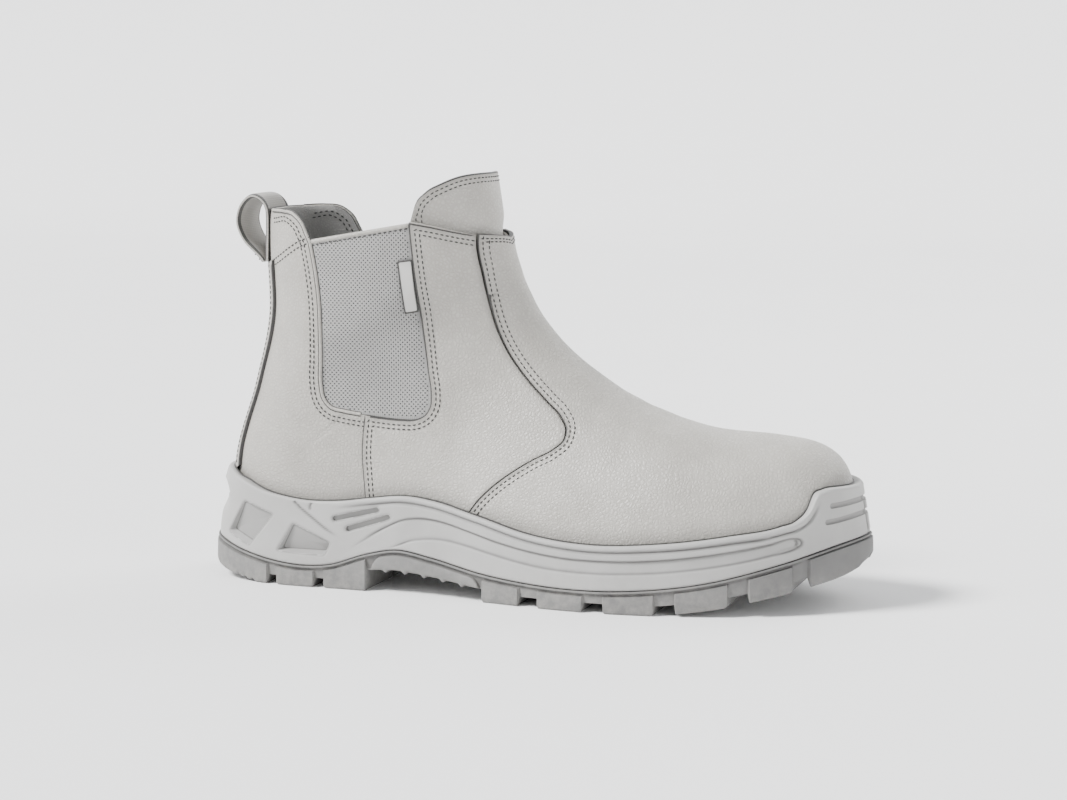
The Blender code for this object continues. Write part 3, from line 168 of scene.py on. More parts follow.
SLOTS = (((71.7, 32.1), (92.5, 37.2)), ((78.4, 27.8), (98.0, 34.2)))
TOE_GROOVES = ((295.6, 46.4, 47.4), (294.0, 39.5, 41.4))
HEEL_CREASE = ((51.0, 38.8), (53.1, 36.9), (61.2, 31.1), (67.5, 26.9), (74.4, 23.3))
RIM_ARC = ((60.8, 39.0), (59.4, 37.5), (59.2, 36.2), (60.0, 34.6))
BEAD_TOE = ((270.0, 33.5), (279.0, 35.7), (284.8, 37.4), (288.8, 40.3), (290.9, 44.2), (292.6, 50.2))
BAND_FLOOR_END = ((283.0, 33.1), (284.2, 32.3), (284.3, 31.0), (283.8, 29.9))
DRAWN_LINES = (
    (HEEL_CREASE, 0.01, 9.0), (RIM_ARC, 0.01, 1.5), (BEAD_TOE, 6.0, 9.0), (BAND_FLOOR_END, 1.0, 1.0),
    (BAND_HIGH + BAND_END + BAND_LOW[::-1], 20.0, 10.0),
)


class Side(Enum):
    """Side of the foot that a piece lies on."""

    OUTER = -1
    INNER = 1

    @property
    def word(self) -> str:
        """The side as it stands in the names of pieces."""
        return self.name.lower()


# Curves and lines


HALVINGS = 45


def through(knots: Array, values: Array, at: Array, flat_start: tuple[int, ...] = ()) -> Array:
    """Cubic curve through rows of values, with slopes from the neighbouring rows.

    Args:
        knots: Rising positions of the rows.
        values: One row of values for each knot.
        at: Positions to read.
        flat_start: Columns whose slope is 0 at the first row.

    Returns:
        The values at each position.
    """
    at = np.clip(np.asarray(at, float), knots[0], knots[-1])
    slopes = np.gradient(values, knots, axis=0)
    for column in flat_start:
        slopes[0, column] = 0.0
    low = np.clip(np.searchsorted(knots, at, side="right") - 1, 0, len(knots) - 2)
    step = (knots[low + 1] - knots[low])[..., None]
    t = (at - knots[low])[..., None] / step
    start = (2 * t**3 - 3 * t**2 + 1) * values[low] + (t**3 - 2 * t**2 + t) * step * slopes[low]
    end = (3 * t**2 - 2 * t**3) * values[low + 1] + (t**3 - t**2) * step * slopes[low + 1]
    return start + end


def height(table: Table, x: Array) -> Array:
    """Height at a distance from the heel, read from a table of both."""
    rows = np.asarray(table, float)
    return through(rows[:, 0], rows[:, 1:], x)[..., 0]


def ramp(x: Array, start: float, end: float) -> Array:
    """Smooth rise from 0 at start to 1 at end."""
    t = np.clip((np.asarray(x, float) - start) / (end - start), 0.0, 1.0)
    return t * t * (3 - 2 * t)


def rounded(distance: Array, radius: float) -> Array:
    """Height lost at a distance from an edge that is rounded with a radius."""
    t = np.clip(radius - np.asarray(distance, float), 0.0, radius)
    return radius - np.sqrt(np.maximum(radius**2 - t**2, 0.0))


def bell(distance: Array, width: float) -> Array:
    """Share that falls off from 1 with the distance, over a width."""
    return np.exp(-((distance / width) ** 2))


def between(x: Array, start: float, full: float, fade: float, end: float) -> Array:
    """Smooth rise from 0 at start to 1 at full, and fall from fade to 0 at end."""
    return ramp(x, start, full) * (1 - ramp(x, fade, end))


def closed_line(outline: Array) -> Array:
    """Outline with its first point again at the end."""
    return np.vstack([outline, outline[:1]])


def run_lengths(line: Array) -> Array:
    """Length along a line at each of its points."""
    return np.concatenate([[0.0], np.cumsum(np.linalg.norm(np.diff(line, axis=0), axis=1))])


def smooth_line(points: Table | Array, step: float) -> Array:
    """Smooth line through points, read at about even steps.

    Args:
        points: Points to pass through.
        step: Wanted length of a step.

    Returns:
        The points of the line.
    """
    points = np.asarray(points, float)
    run = run_lengths(points)
    count = max(2, int(round(run[-1] / step)) + 1)
    return through(run, points, np.linspace(0.0, run[-1], count))


def even_line(points: Table | Array, step: float) -> Array:
    """Straight runs between points, cut at about even steps with the corners kept.

    Args:
        points: Corners of the line.
        step: Wanted length of a step.

    Returns:
        The points of the line.
    """
    points = np.asarray(points, float)
    parts = [points[:1]]
    for a, b in zip(points[:-1], points[1:]):
        count = max(1, int(round(np.linalg.norm(b - a) / step)))
        parts.append(a + (b - a) * np.linspace(0, 1, count + 1)[1:, None])
    return np.vstack(parts)


def beside(line: Array, distance: float) -> Array:
    """Line moved to the right of its own direction by a distance.

    Args:
        line: Points of the line.
        distance: Distance to move, negative to the left.

    Returns:
        The moved line.
    """
    run = np.gradient(line, axis=0)
    run /= np.maximum(np.linalg.norm(run, axis=1, keepdims=True), 1e-9)
    return line + np.column_stack([run[:, 1], -run[:, 0]]) * distance


def near_line(points: Array, line: Array) -> tuple[Array, Array]:
    """Distance of each point to the nearest place on a line, and how far along the line that place is.

    Args:
        points: Points to measure from.
        line: Points of the line.

    Returns:
        The distances, and the lengths along the line.
    """
    a, b = line[:-1], line[1:]
    run = b - a
    size = np.maximum(np.sum(run**2, axis=1), 1e-12)
    t = np.clip(np.einsum("ijk,jk->ij", points[:, None] - a[None], run) / size, 0.0, 1.0)
    squares = np.sum((points[:, None] - a[None] - t[..., None] * run[None]) ** 2, axis=-1)
    place = np.arange(len(points)), np.argmin(squares, axis=1)
    return np.sqrt(squares[place]), run_lengths(line)[place[1]] + (t * np.sqrt(size))[place]


def gap_to_line(points: Array, line: Array) -> Array:
    """Distance of each point to the nearest place on a line."""
    return near_line(points, line)[0]


def within(points: Array, outline: Array) -> Array:
    """Which points lie inside a closed outline.

    Args:
        points: Points to test.
        outline: Corners of the outline.

    Returns:
        True for each point inside.
    """
    inside = np.zeros(len(points), bool)
    for a, b in zip(outline, np.roll(outline, -1, axis=0)):
        crosses = (a[1] > points[:, 1]) != (b[1] > points[:, 1])
        rise = b[1] - a[1] if abs(b[1] - a[1]) > 1e-12 else 1e-12
        inside ^= crosses & (points[:, 0] < (b[0] - a[0]) * (points[:, 1] - a[1]) / rise + a[0])
    return inside


def solve(function: Callable[[Array], Array], low: Array, high: Array) -> Array:
    """Root of a rising function for arrays of brackets.

    Args:
        function: Function that rises through 0.
        low: Lower ends of the brackets.
        high: Upper ends of the brackets.

    Returns:
        The roots.
    """
    low, high = np.array(low, float), np.array(high, float)
    for _ in range(HALVINGS):
        middle = (low + high) / 2
        below = function(middle) < 0
        low, high = np.where(below, middle, low), np.where(below, high, middle)
    return (low + high) / 2


class Last:
    """Foot form that the boot is made on: a run of sections from the toe to the collar."""

    STEP = 1e-3
    HALVINGS = 40
    PROFILE_ROWS = 900
    FEATHER_ROWS = 1200

    def __init__(self) -> None:
        """Reads the section table and finds the rows of the heel, the toe and the feather edge."""
        self.rows = np.array(list(SECTIONS.values()))
        self.knots = np.arange(len(SECTIONS), dtype=float)
        self.end = float(len(SECTIONS) - 1)
        names = list(SECTIONS)
        self.profile_rows = np.linspace(0.0, self.end, self.PROFILE_ROWS)
        self.profile = self.section(self.profile_rows)
        self.heel_rows = self.profile_rows >= names.index("heel seat")
        self.toe_rows = self.profile_rows <= names.index("toe crown")
        self.feather_knots = np.linspace(0.0, self.end, self.FEATHER_ROWS)
        self.feather = self._feather_turn(self.feather_knots)
        self.heel_closes = float(self.feather_knots[np.argmax(self.feather > math.pi - 1e-4)])

    def section(self, s: Array) -> dict[str, Array]:
        """Columns of the section table at fractional rows.

        Args:
            s: Section rows.

        Returns:
            The columns by name.
        """
        flat = (SECTION_COLUMNS.index("top_x"), SECTION_COLUMNS.index("keel_x"))
        columns = through(self.knots, self.rows, s, flat)
        return {name: columns[..., k] for k, name in enumerate(SECTION_COLUMNS)}

    def point(self, s: Array, v: Array) -> Array:
        """Point at section row s and turn v: 0 on the ridge, negative on the outer side, pi at the keel.

        Args:
            s: Section rows.
            v: Turns round the sections.

        Returns:
            The points.
        """
        v = (np.asarray(v, float) + math.pi) % (2 * math.pi) - math.pi
        c = self.section(s)
        turn = np.abs(v)
        upper = turn < math.pi / 2
        power = 2.0 / np.where(upper, c["top_power"], c["keel_power"])
        along = np.abs(np.cos(turn)) ** power
        across = np.abs(np.sin(turn)) ** power
        down = np.where(upper, c["widest"] * (1 - along), c["widest"] + (1 - c["widest"]) * along)
        half = np.where(v < 0, -c["lateral"], c["medial"])
        x = c["top_x"] + (c["keel_x"] - c["top_x"]) * down
        z = c["top_z"] + (c["keel_z"] - c["top_z"]) * down
        return np.stack([x, c["ridge"] + half * across, z], axis=-1)

    def normal(self, s: Array, v: Array) -> Array:
        """Outward direction of the form.

        Args:
            s: Section rows.
            v: Turns round the sections.

        Returns:
            The directions, each of length 1.
        """
        s, v = np.asarray(s, float), np.asarray(v, float)
        ahead, behind = np.minimum(s + self.STEP, self.end), np.maximum(s - self.STEP, 0.0)
        along = self.point(ahead, v) - self.point(behind, v)
        around = self.point(s, v + self.STEP) - self.point(s, v - self.STEP)
        normal = np.cross(around, along)
        length = np.linalg.norm(normal, axis=-1, keepdims=True)
        return np.where(length > 1e-12, normal / np.maximum(length, 1e-12), (1.0, 0.0, 0.0))

    def offset(self, s: Array, v: Array, distance: Array | float) -> Array:
        """Point at a distance outside the form."""
        s = np.asarray(s, float)
        return self.point(s, v) + self.normal(s, v) * np.broadcast_to(distance, s.shape)[..., None]

    def find(self, x: Array, z: Array, side: Side) -> tuple[Array, Array]:
        """Section row and turn of the point that shows at x, z from a side.

        Args:
            x: Distances from the heel.
            z: Heights.
            side: Side that it is seen from.

        Returns:
            The section rows and the turns.
        """
        x, z = np.broadcast_arrays(np.asarray(x, float), np.asarray(z, float))
        low, high = np.zeros(x.shape), np.full(x.shape, self.end)
        for _ in range(self.HALVINGS):
            middle = (low + high) / 2
            c = self.section(middle)
            run_x, run_z = c["keel_x"] - c["top_x"], c["keel_z"] - c["top_z"]
            beyond = run_x * (z - c["top_z"]) - run_z * (x - c["top_x"])
            low, high = np.where(beyond < 0, middle, low), np.where(beyond < 0, high, middle)
        c = self.section(low)
        run_x, run_z = c["keel_x"] - c["top_x"], c["keel_z"] - c["top_z"]
        down = ((x - c["top_x"]) * run_x + (z - c["top_z"]) * run_z) / (run_x**2 + run_z**2)
        down = np.clip(down, 0.0, 1.0)
        upper = down < c["widest"]
        along = np.where(upper, 1 - down / c["widest"], (down - c["widest"]) / (1 - c["widest"]))
        power = np.where(upper, c["top_power"], c["keel_power"]) / 2
        angle = np.arccos(np.clip(along, 0.0, 1.0) ** power)
        return low, side.value * np.where(upper, angle, math.pi - angle)

    def on_side(self, line: Array, side: Side, distance: Array | float) -> Array:
        """Points of a line of x and z seen from a side, laid at a distance outside the form."""
        s, v = self.find(line[:, 0], line[:, 1], side)
        return self.offset(s, v, distance)

    def level(self, turn: Array, side: Side, z: Array, distance: Array) -> Array:
        """Points round the form at a height; turn runs from 0 at the heel to pi at the toe.

        Args:
            turn: Turns from the heel to the toe.
            side: Side of the boot.
            z: Heights.
            distance: Distance outside the form.

        Returns:
            The points.
        """
        heel_x = np.interp(z, self.profile["keel_z"][self.heel_rows], self.profile["keel_x"][self.heel_rows])
        toe_x = np.interp(z, self.profile["top_z"][self.toe_rows], self.profile["top_x"][self.toe_rows])
        x = heel_x + (toe_x - heel_x) * (1 - np.cos(turn)) / 2
        s, v = self.find(x, z, side)
        v = np.where(turn < 1e-6, side.value * math.pi, v)
        outward = self.normal(s, v) * np.array([1.0, 1.0, 0.0])
        steep = np.maximum(np.sum(outward**2, axis=-1, keepdims=True), 0.3)
        return self.point(s, v) + outward / steep * np.broadcast_to(distance, s.shape)[..., None]

    def _feather_turn(self, s: Array) -> Array:
        """Turn at which each section reaches the footbed, or pi where it closes at the back of the heel.

        Args:
            s: Section rows.

        Returns:
            The turns.
        """

        def below_bed(v: Array) -> Array:
            """Depth of each section's point below the footbed."""
            p = self.point(s, v)
            return height(FOOTBED, p[..., 0]) + 0.9 - p[..., 2]

        return solve(below_bed, np.full(s.shape, 0.5), np.full(s.shape, math.pi))

    def wrap(self, s: Array, share: Array) -> Array:
        """Turn at a share of the way from the ridge to the feather edge: -1 outer side, 1 inner side."""
        feather = np.interp(s, self.feather_knots, self.feather)
        return share * np.where(s >= self.heel_closes, math.pi, feather)

    def row_at(self, table: Table, share: Array, low: float, high: float) -> Array:
        """Section row at which lines of constant share meet a height table.

        Args:
            table: Heights along the boot.
            share: Shares of the way to the feather edge.
            low: Lowest row to try.
            high: Highest row to try.

        Returns:
            The section rows.
        """
        share = np.asarray(share, float)

        def above(s: Array) -> Array:
            """Height of each point above the table."""
            p = self.point(s, self.wrap(s, share))
            return p[..., 2] - height(table, p[..., 0])

        return solve(above, np.full(share.shape, low), np.full(share.shape, high))


class SoleForm:
    """Edge of the sole seen from above, and rings round it."""

    def __init__(self, last: Last) -> None:
        """Reads the edge's table.

        Args:
            last: Foot form that rings are laid round.
        """
        self.last = last
        self.rows = np.array(OUTLINE)
        self.knots = self.turn(self.rows[:, 0])

    @staticmethod
    def turn(x: Array) -> Array:
        """Turn along the edge at a distance from the heel: 0 at the heel, pi at the toe."""
        return np.arccos(np.clip(1 - 2 * np.asarray(x, float) / LENGTH, -1.0, 1.0))

    @staticmethod
    def along(turn: Array) -> Array:
        """Distance from the heel at a turn along the edge."""
        return LENGTH / 2 * (1 - np.cos(turn))

    def edge(self, turn: Array, side: Side, inset: Array | float = 0.0) -> Array:
        """x and y on the sole's edge, moved inwards.

        Args:
            turn: Turns from the heel to the toe.
            side: Side of the boot.
            inset: Distance inwards.

        Returns:
            The places.
        """
        column = OUTLINE_COLUMNS.index("lateral" if side is Side.OUTER else "medial")

        def at(t: Array) -> Array:
            """Places on the edge itself."""
            y = through(self.knots, self.rows, t)[..., column]
            return np.stack([self.along(t), y], axis=-1)

        turn = np.clip(np.asarray(turn, float), 0.0, math.pi)
        run = at(np.minimum(turn + Last.STEP, math.pi)) - at(np.maximum(turn - Last.STEP, 0.0))
        run[..., 0] = np.where((turn < 1e-6) | (turn > math.pi - 1e-6), 0.0, run[..., 0])
        normal = np.stack([-run[..., 1], run[..., 0]], axis=-1) * -side.value
        normal /= np.linalg.norm(normal, axis=-1, keepdims=True)
        return at(turn) + normal * np.broadcast_to(inset, turn.shape)[..., None]

    def ring(self, turns: Array, inset: Array | float, z: Array | float) -> Array:
        """Closed ring along the edge: the outer side from heel to toe, then the inner side back.

        Args:
            turns: Turns from the heel to the toe.
            inset: Distance inwards.
            z: Heights.

        Returns:
            The ring's points.
        """
        levels = np.broadcast_to(z, turns.shape)
        outer = np.column_stack([self.edge(turns, Side.OUTER, inset), levels])
        inner = np.column_stack([self.edge(turns, Side.INNER, inset), levels])
        return np.vstack([outer, inner[-2:0:-1]])

    def last_ring(self, turns: Array, z: Array, distance: Array | float) -> Array:
        """Closed ring round the last at a height, with the same order of points.

        Args:
            turns: Turns from the heel to the toe.
            z: Heights.
            distance: Distance outside the form.

        Returns:
            The ring's points.
        """
        levels = np.broadcast_to(z, turns.shape)
        distances = np.broadcast_to(distance, turns.shape)
        outer = self.last.level(turns, Side.OUTER, levels, distances)
        inner = self.last.level(turns, Side.INNER, levels, distances)
        return np.vstack([outer, inner[-2:0:-1]])

    @staticmethod
    def last_x(x: Array, distance: float) -> Array:
        """Where a point of a last ring lies along the boot, for a station of the edge.

        Args:
            x: Distances from the heel.
            distance: Distance outside the form.

        Returns:
            The ring's distances from the heel.
        """
        back = SECTIONS["heel"][SECTION_COLUMNS.index("keel_x")] - distance
        front = SECTIONS["toe front"][SECTION_COLUMNS.index("top_x")] + distance
        return back + (front - back) * np.asarray(x, float) / LENGTH

    def origin(self) -> Array:
        """Move from the heel-based sizes to the model's own frame.

        Returns:
            The move in millimetres.
        """
        turns = np.linspace(0.0, math.pi, 400)
        low = self.edge(turns, Side.OUTER)[:, 1].min()
        high = self.edge(turns, Side.INNER)[:, 1].max()
        return np.array([-LENGTH / 2, -(low + high) / 2, 0.0])


LAST = Last()
SOLE = SoleForm(LAST)
ORIGIN = SOLE.origin()


def mirrored(values: Array) -> Array:
    """Values from heel to toe along the outer side, then back along the inner side, as in a ring."""
    return np.concatenate([values, values[-2:0:-1]])


def in_model(points: Array) -> Array:
    """Heel-based places in millimetres, as metres in the model's own frame."""
    return (points + ORIGIN) * MM


# Meshes


def linked(name: str, data: bpy.types.ID) -> bpy.types.Object:
    """New object in the scene.

    Args:
        name: Name of the object.
        data: Mesh, light or camera.

    Returns:
        The object.
    """
    made = bpy.data.objects.new(name, data)
    bpy.context.scene.collection.objects.link(made)
    return made


class Sketch:
    """Points, faces and finishes of one piece, gathered before its mesh is made."""

    def __init__(self) -> None:
        """Starts an empty piece."""
        self.points: list[Array] = []
        self.grime: list[Array] = []
        self.count = 0
        self.faces: list[tuple[int, ...]] = []
        self.slots: list[int] = []
        self.uv: dict[int, tuple[float, float]] = {}

    def add(self, points: Array, grime: Array | float = 0.0) -> Array:
        """Adds points to the piece.

        Args:
            points: Places in any arrangement.
            grime: Share of painted shade at each place.

        Returns:
            Numbers of the points in the same arrangement.
        """
        points = np.asarray(points, float)
        flat = points.reshape(-1, 3)
        self.points.append(flat)
        self.grime.append(np.broadcast_to(grime, points.shape[:-1]).reshape(-1))
        numbers = np.arange(self.count, self.count + len(flat)).reshape(points.shape[:-1])
        self.count += len(flat)
        return numbers

    def sheet(self, rows: list[Array] | Array, closed: bool = False, slot: int = 0,
              flip: bool = False) -> None:
        """Quads between neighbouring rows of point numbers.

        Args:
            rows: Rows of point numbers, all as long.
            closed: Whether the last point of each row joins the first.
            slot: Number of the finish.
            flip: Whether the faces turn the other way.
        """
        for a, b in zip(rows[:-1], rows[1:]):
            a_next, b_next = np.roll(a, -1), np.roll(b, -1)
            stop = len(a) if closed else len(a) - 1
            quads = np.column_stack([a, a_next, b_next, b])[:stop]
            if flip:
                quads = quads[:, ::-1]
            self.faces.extend(map(tuple, quads.tolist()))
            self.slots.extend([slot] * stop)

    def cap(self, ring: Array, slot: int = 0) -> None:
        """One flat face over a ring."""
        self.faces.append(tuple(int(k) for k in ring))
        self.slots.append(slot)

    def fan(self, ring: Array, slot: int = 0) -> None:
        """Triangles from the middle of a ring to its points.

        Args:
            ring: Point numbers of the ring.
            slot: Number of the finish.
        """
        middle = int(self.add(np.vstack(self.points)[ring].mean(axis=0)))
        for a, b in zip(ring, np.roll(ring, -1)):
            self.faces.append((int(a), int(b), middle))
            self.slots.append(slot)

    def across(self, ring: Array, columns: Array, shape: Callable[[Array], Array] | None = None,
               slot: int = 0) -> None:
        """Fills a ring with rungs between its outer and inner side.

        Args:
            ring: Point numbers of a ring round the sole.
            columns: Shares of the way across, from 0 to 1.
            shape: Function that moves the points of the rungs.
            slot: Number of the finish.
        """
        points = np.vstack(self.points)
        half = len(ring) // 2
        outer = ring[: half + 1]
        inner = np.concatenate([[ring[0]], ring[:half:-1], [ring[half]]])
        rungs = points[outer][:, None] + (points[inner] - points[outer])[:, None] * columns[None, :, None]
        if shape is not None:
            rungs = shape(rungs)
        numbers = self.add(rungs[:, 1:-1])
        numbers = np.column_stack([outer, numbers, inner])
        self.sheet(numbers, slot=slot)

    def tube(self, path: Array, radius: Array | float, sides: int = 8, slot: int = 0) -> None:
        """Round roll along a path, closed at both ends.

        Args:
            path: Points along its middle.
            radius: Radius, or one for each point.
            sides: Number of points round it.
            slot: Number of the finish.
        """
        radii = np.broadcast_to(radius, len(path))
        tangent = np.gradient(path, axis=0)
        tangent /= np.maximum(np.linalg.norm(tangent, axis=1, keepdims=True), 1e-9)
        side = np.cross(tangent[0], (0.0, 0.0, 1.0))
        if np.linalg.norm(side) < 0.1:
            side = np.cross(tangent[0], (0.0, 1.0, 0.0))
        angle = np.linspace(0.0, 2 * math.pi, sides, endpoint=False)
        rings = []
        for place, heading, reach in zip(path, tangent, radii):
            side = side - heading * (side @ heading)
            side /= np.linalg.norm(side)
            other = np.cross(heading, side)
            rings.append(place + reach * (np.cos(angle)[:, None] * side + np.sin(angle)[:, None] * other))
        numbers = self.add(np.array(rings))
        self.sheet(numbers, closed=True, slot=slot)
        self.cap(numbers[0], slot)
        self.cap(numbers[-1], slot)

    def build(self, name: str, finishes: list[bpy.types.Material], sharp: float = 38.0, weld: float = 0.01,
              outward: bool = True) -> bpy.types.Object:
        """Welded mesh object in the model's frame.

        Args:
            name: Name of the piece.
            finishes: Materials in the order of the slots.
            sharp: Angle in degrees from which an edge shows as sharp.
            weld: Distance at which points become one.
            outward: Whether the faces are turned to point out of the closed piece.

        Returns:
            The object, linked to the scene.
        """
        mesh = bpy.data.meshes.new(name)
        places = in_model(np.vstack(self.points))
        clean = [tuple(dict.fromkeys(face)) for face in self.faces]
        keep = [k for k, face in enumerate(clean) if len(face) > 2]
        mesh.from_pydata(places.tolist(), [], [clean[k] for k in keep])
        mesh.polygons.foreach_set("material_index", [self.slots[k] for k in keep])
        if self.uv:
            layer = mesh.uv_layers.new(name="UVMap")
            corners = [self.uv.get(loop.vertex_index, (0.0, 0.0)) for loop in mesh.loops]
            layer.data.foreach_set("uv", [value for pair in corners for value in pair])
        # Layer of painted shade, read by the finishes.
        shade_paint = mesh.attributes.new(PAINTED_SHADE, "FLOAT", "POINT")
        shade_paint.data.foreach_set("value", np.concatenate(self.grime))
        work = bmesh.new()
        work.from_mesh(mesh)
        bmesh.ops.remove_doubles(work, verts=work.verts, dist=weld * MM)
        bmesh.ops.dissolve_degenerate(work, edges=work.edges, dist=1e-6)
        if outward:
            bmesh.ops.recalc_face_normals(work, faces=work.faces)
        work.to_mesh(mesh)
        work.free()
        for finish in finishes:
            mesh.materials.append(finish)
        mesh.shade_smooth()
        mesh.set_sharp_from_angle(angle=math.radians(sharp))
        return linked(name, mesh)


def baked(piece: bpy.types.Object, sharp: float = 58.0) -> None:
    """Turns a piece's modifiers into its plain mesh.

    Args:
        piece: Piece to change.
        sharp: Angle in degrees from which an edge shows as sharp.
    """
    bpy.context.view_layer.update()
    graph = bpy.context.evaluated_depsgraph_get()
    mesh = bpy.data.meshes.new_from_object(piece.evaluated_get(graph))
    piece.modifiers.clear()
    piece.data = mesh
    mesh.shade_smooth()
    mesh.set_sharp_from_angle(angle=math.radians(sharp))


SAME_PLACE = 0.02


def carve(piece: bpy.types.Object, cutters: list[bpy.types.Object]) -> None:
    """Subtracts helpers from a piece, keeps the painted shade that they bring and removes them.

    Args:
        piece: Piece to cut.
        cutters: Closed helpers.
    """
    shade_spots = []
    for cutter in cutters:
        shares = cutter.data.attributes[PAINTED_SHADE].data
        pairs = zip(cutter.data.vertices, shares)
        shade_spots += [(vert.co.copy(), share.value) for vert, share in pairs if share.value]
        boolean = piece.modifiers.new(cutter.name, "BOOLEAN")
        boolean.operation = "DIFFERENCE"
        boolean.solver = "EXACT"
        boolean.material_mode = "TRANSFER"
        boolean.object = cutter
    baked(piece)
    tree = KDTree(len(shade_spots))
    for k, (place, _) in enumerate(shade_spots):
        tree.insert(place, k)
    tree.balance()
    for vert, share in zip(piece.data.vertices, piece.data.attributes[PAINTED_SHADE].data):
        _, k, gap = tree.find(vert.co)
        if gap is not None and gap < SAME_PLACE * MM:
            share.value = shade_spots[k][1]
    for cutter in cutters:
        bpy.data.objects.remove(cutter)


def settle(piece: bpy.types.Object, slot: str, *nodes: str) -> None:
    """Makes a piece ride on the boot, hides the solids that it stands for and logs its triangles.

    Args:
        piece: Finished piece.
        slot: Name of its finish slot; not used.
        nodes: Solids that it stands for.
    """
    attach(piece, BODY)
    if nodes:
        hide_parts(*nodes)
    triangles = sum(len(face.vertices) - 2 for face in piece.data.polygons)
    LOG.info("%s: %d triangles", piece.name, triangles)


# Finishes


class Wires:
    """Places and links the nodes of one tree."""

    def __init__(self, tree: bpy.types.NodeTree) -> None:
        """Takes the tree to work on."""
        self.tree = tree

    def sockets(self, way: str, *rows: tuple[object, ...]) -> None:
        """Adds named inputs or outputs to a node group.

        Args:
            way: INPUT or OUTPUT.
            rows: Name, kind and, where it has one, starting value.
        """
        for name, kind, *value in rows:
            made = self.tree.interface.new_socket(name=name, in_out=way, socket_type=f"NodeSocket{kind}")
            if value:
                made.default_value = value[0]

    def node(self, kind: str, inputs: dict[str, object] | None = None, **settings: object) -> bpy.types.Node:
        """Adds a node with its settings and the values or links of its inputs.

        Args:
            kind: Type of the node.
            inputs: Values or links by input name.
            settings: Settings of the node.

        Returns:
            The node.
        """
        made = self.tree.nodes.new(kind)
        for name, value in settings.items():
            setattr(made, name, value)
        for name, value in (inputs or {}).items():
            self.feed(made.inputs[name], value)
        return made

    def feed(self, target: bpy.types.NodeSocket, value: object) -> None:
        """Links an output to an input, or sets the input's own value.

        Args:
            target: Input to feed.
            value: Output to link, or a plain value.
        """
        if isinstance(value, bpy.types.NodeSocket):
            self.tree.links.new(value, target)
        else:
            target.default_value = value

    def math(self, operation: str, a: object, b: object = 0.0) -> bpy.types.NodeSocket:
        """Result of a sum on two values.

        Args:
            operation: Name of the sum.
            a: First value or link.
            b: Second value or link.

        Returns:
            The result's socket.
        """
        made = self.node("ShaderNodeMath", operation=operation)
        self.feed(made.inputs[0], a)
        self.feed(made.inputs[1], b)
        return made.outputs[0]

    def mix(self, share: object, a: object, b: object) -> bpy.types.NodeSocket:
        """Mix of two colours.

        Args:
            share: Share of the second colour.
            a: First colour.
            b: Second colour.

        Returns:
            The result's socket.
        """
        made = self.node("ShaderNodeMix", data_type="RGBA")
        self.feed(made.inputs[0], share)
        self.feed(made.inputs[6], a)
        self.feed(made.inputs[7], b)
        return made.outputs[2]

    def span(self, value: object, low: float, high: float, to_low: float,
             to_high: float) -> bpy.types.NodeSocket:
        """Value read between two limits and put between two others.

        Args:
            value: Value or link.
            low: Lower limit.
            high: Upper limit.
            to_low: Result at the lower limit.
            to_high: Result at the upper limit.

        Returns:
            The result's socket.
        """
        made = self.node("ShaderNodeMapRange", {
            "Value": value, "From Min": low, "From Max": high, "To Min": to_low, "To Max": to_high,
        })
        return made.outputs["Result"]


def shader_group(name: str) -> Wires:
    """New empty shader node group."""
    return Wires(bpy.data.node_groups.new(name, "ShaderNodeTree"))


# Dark colour that painted shade mixes into a finish.
PAINTED_SHADE_COLOUR = (0.030, 0.028, 0.026)


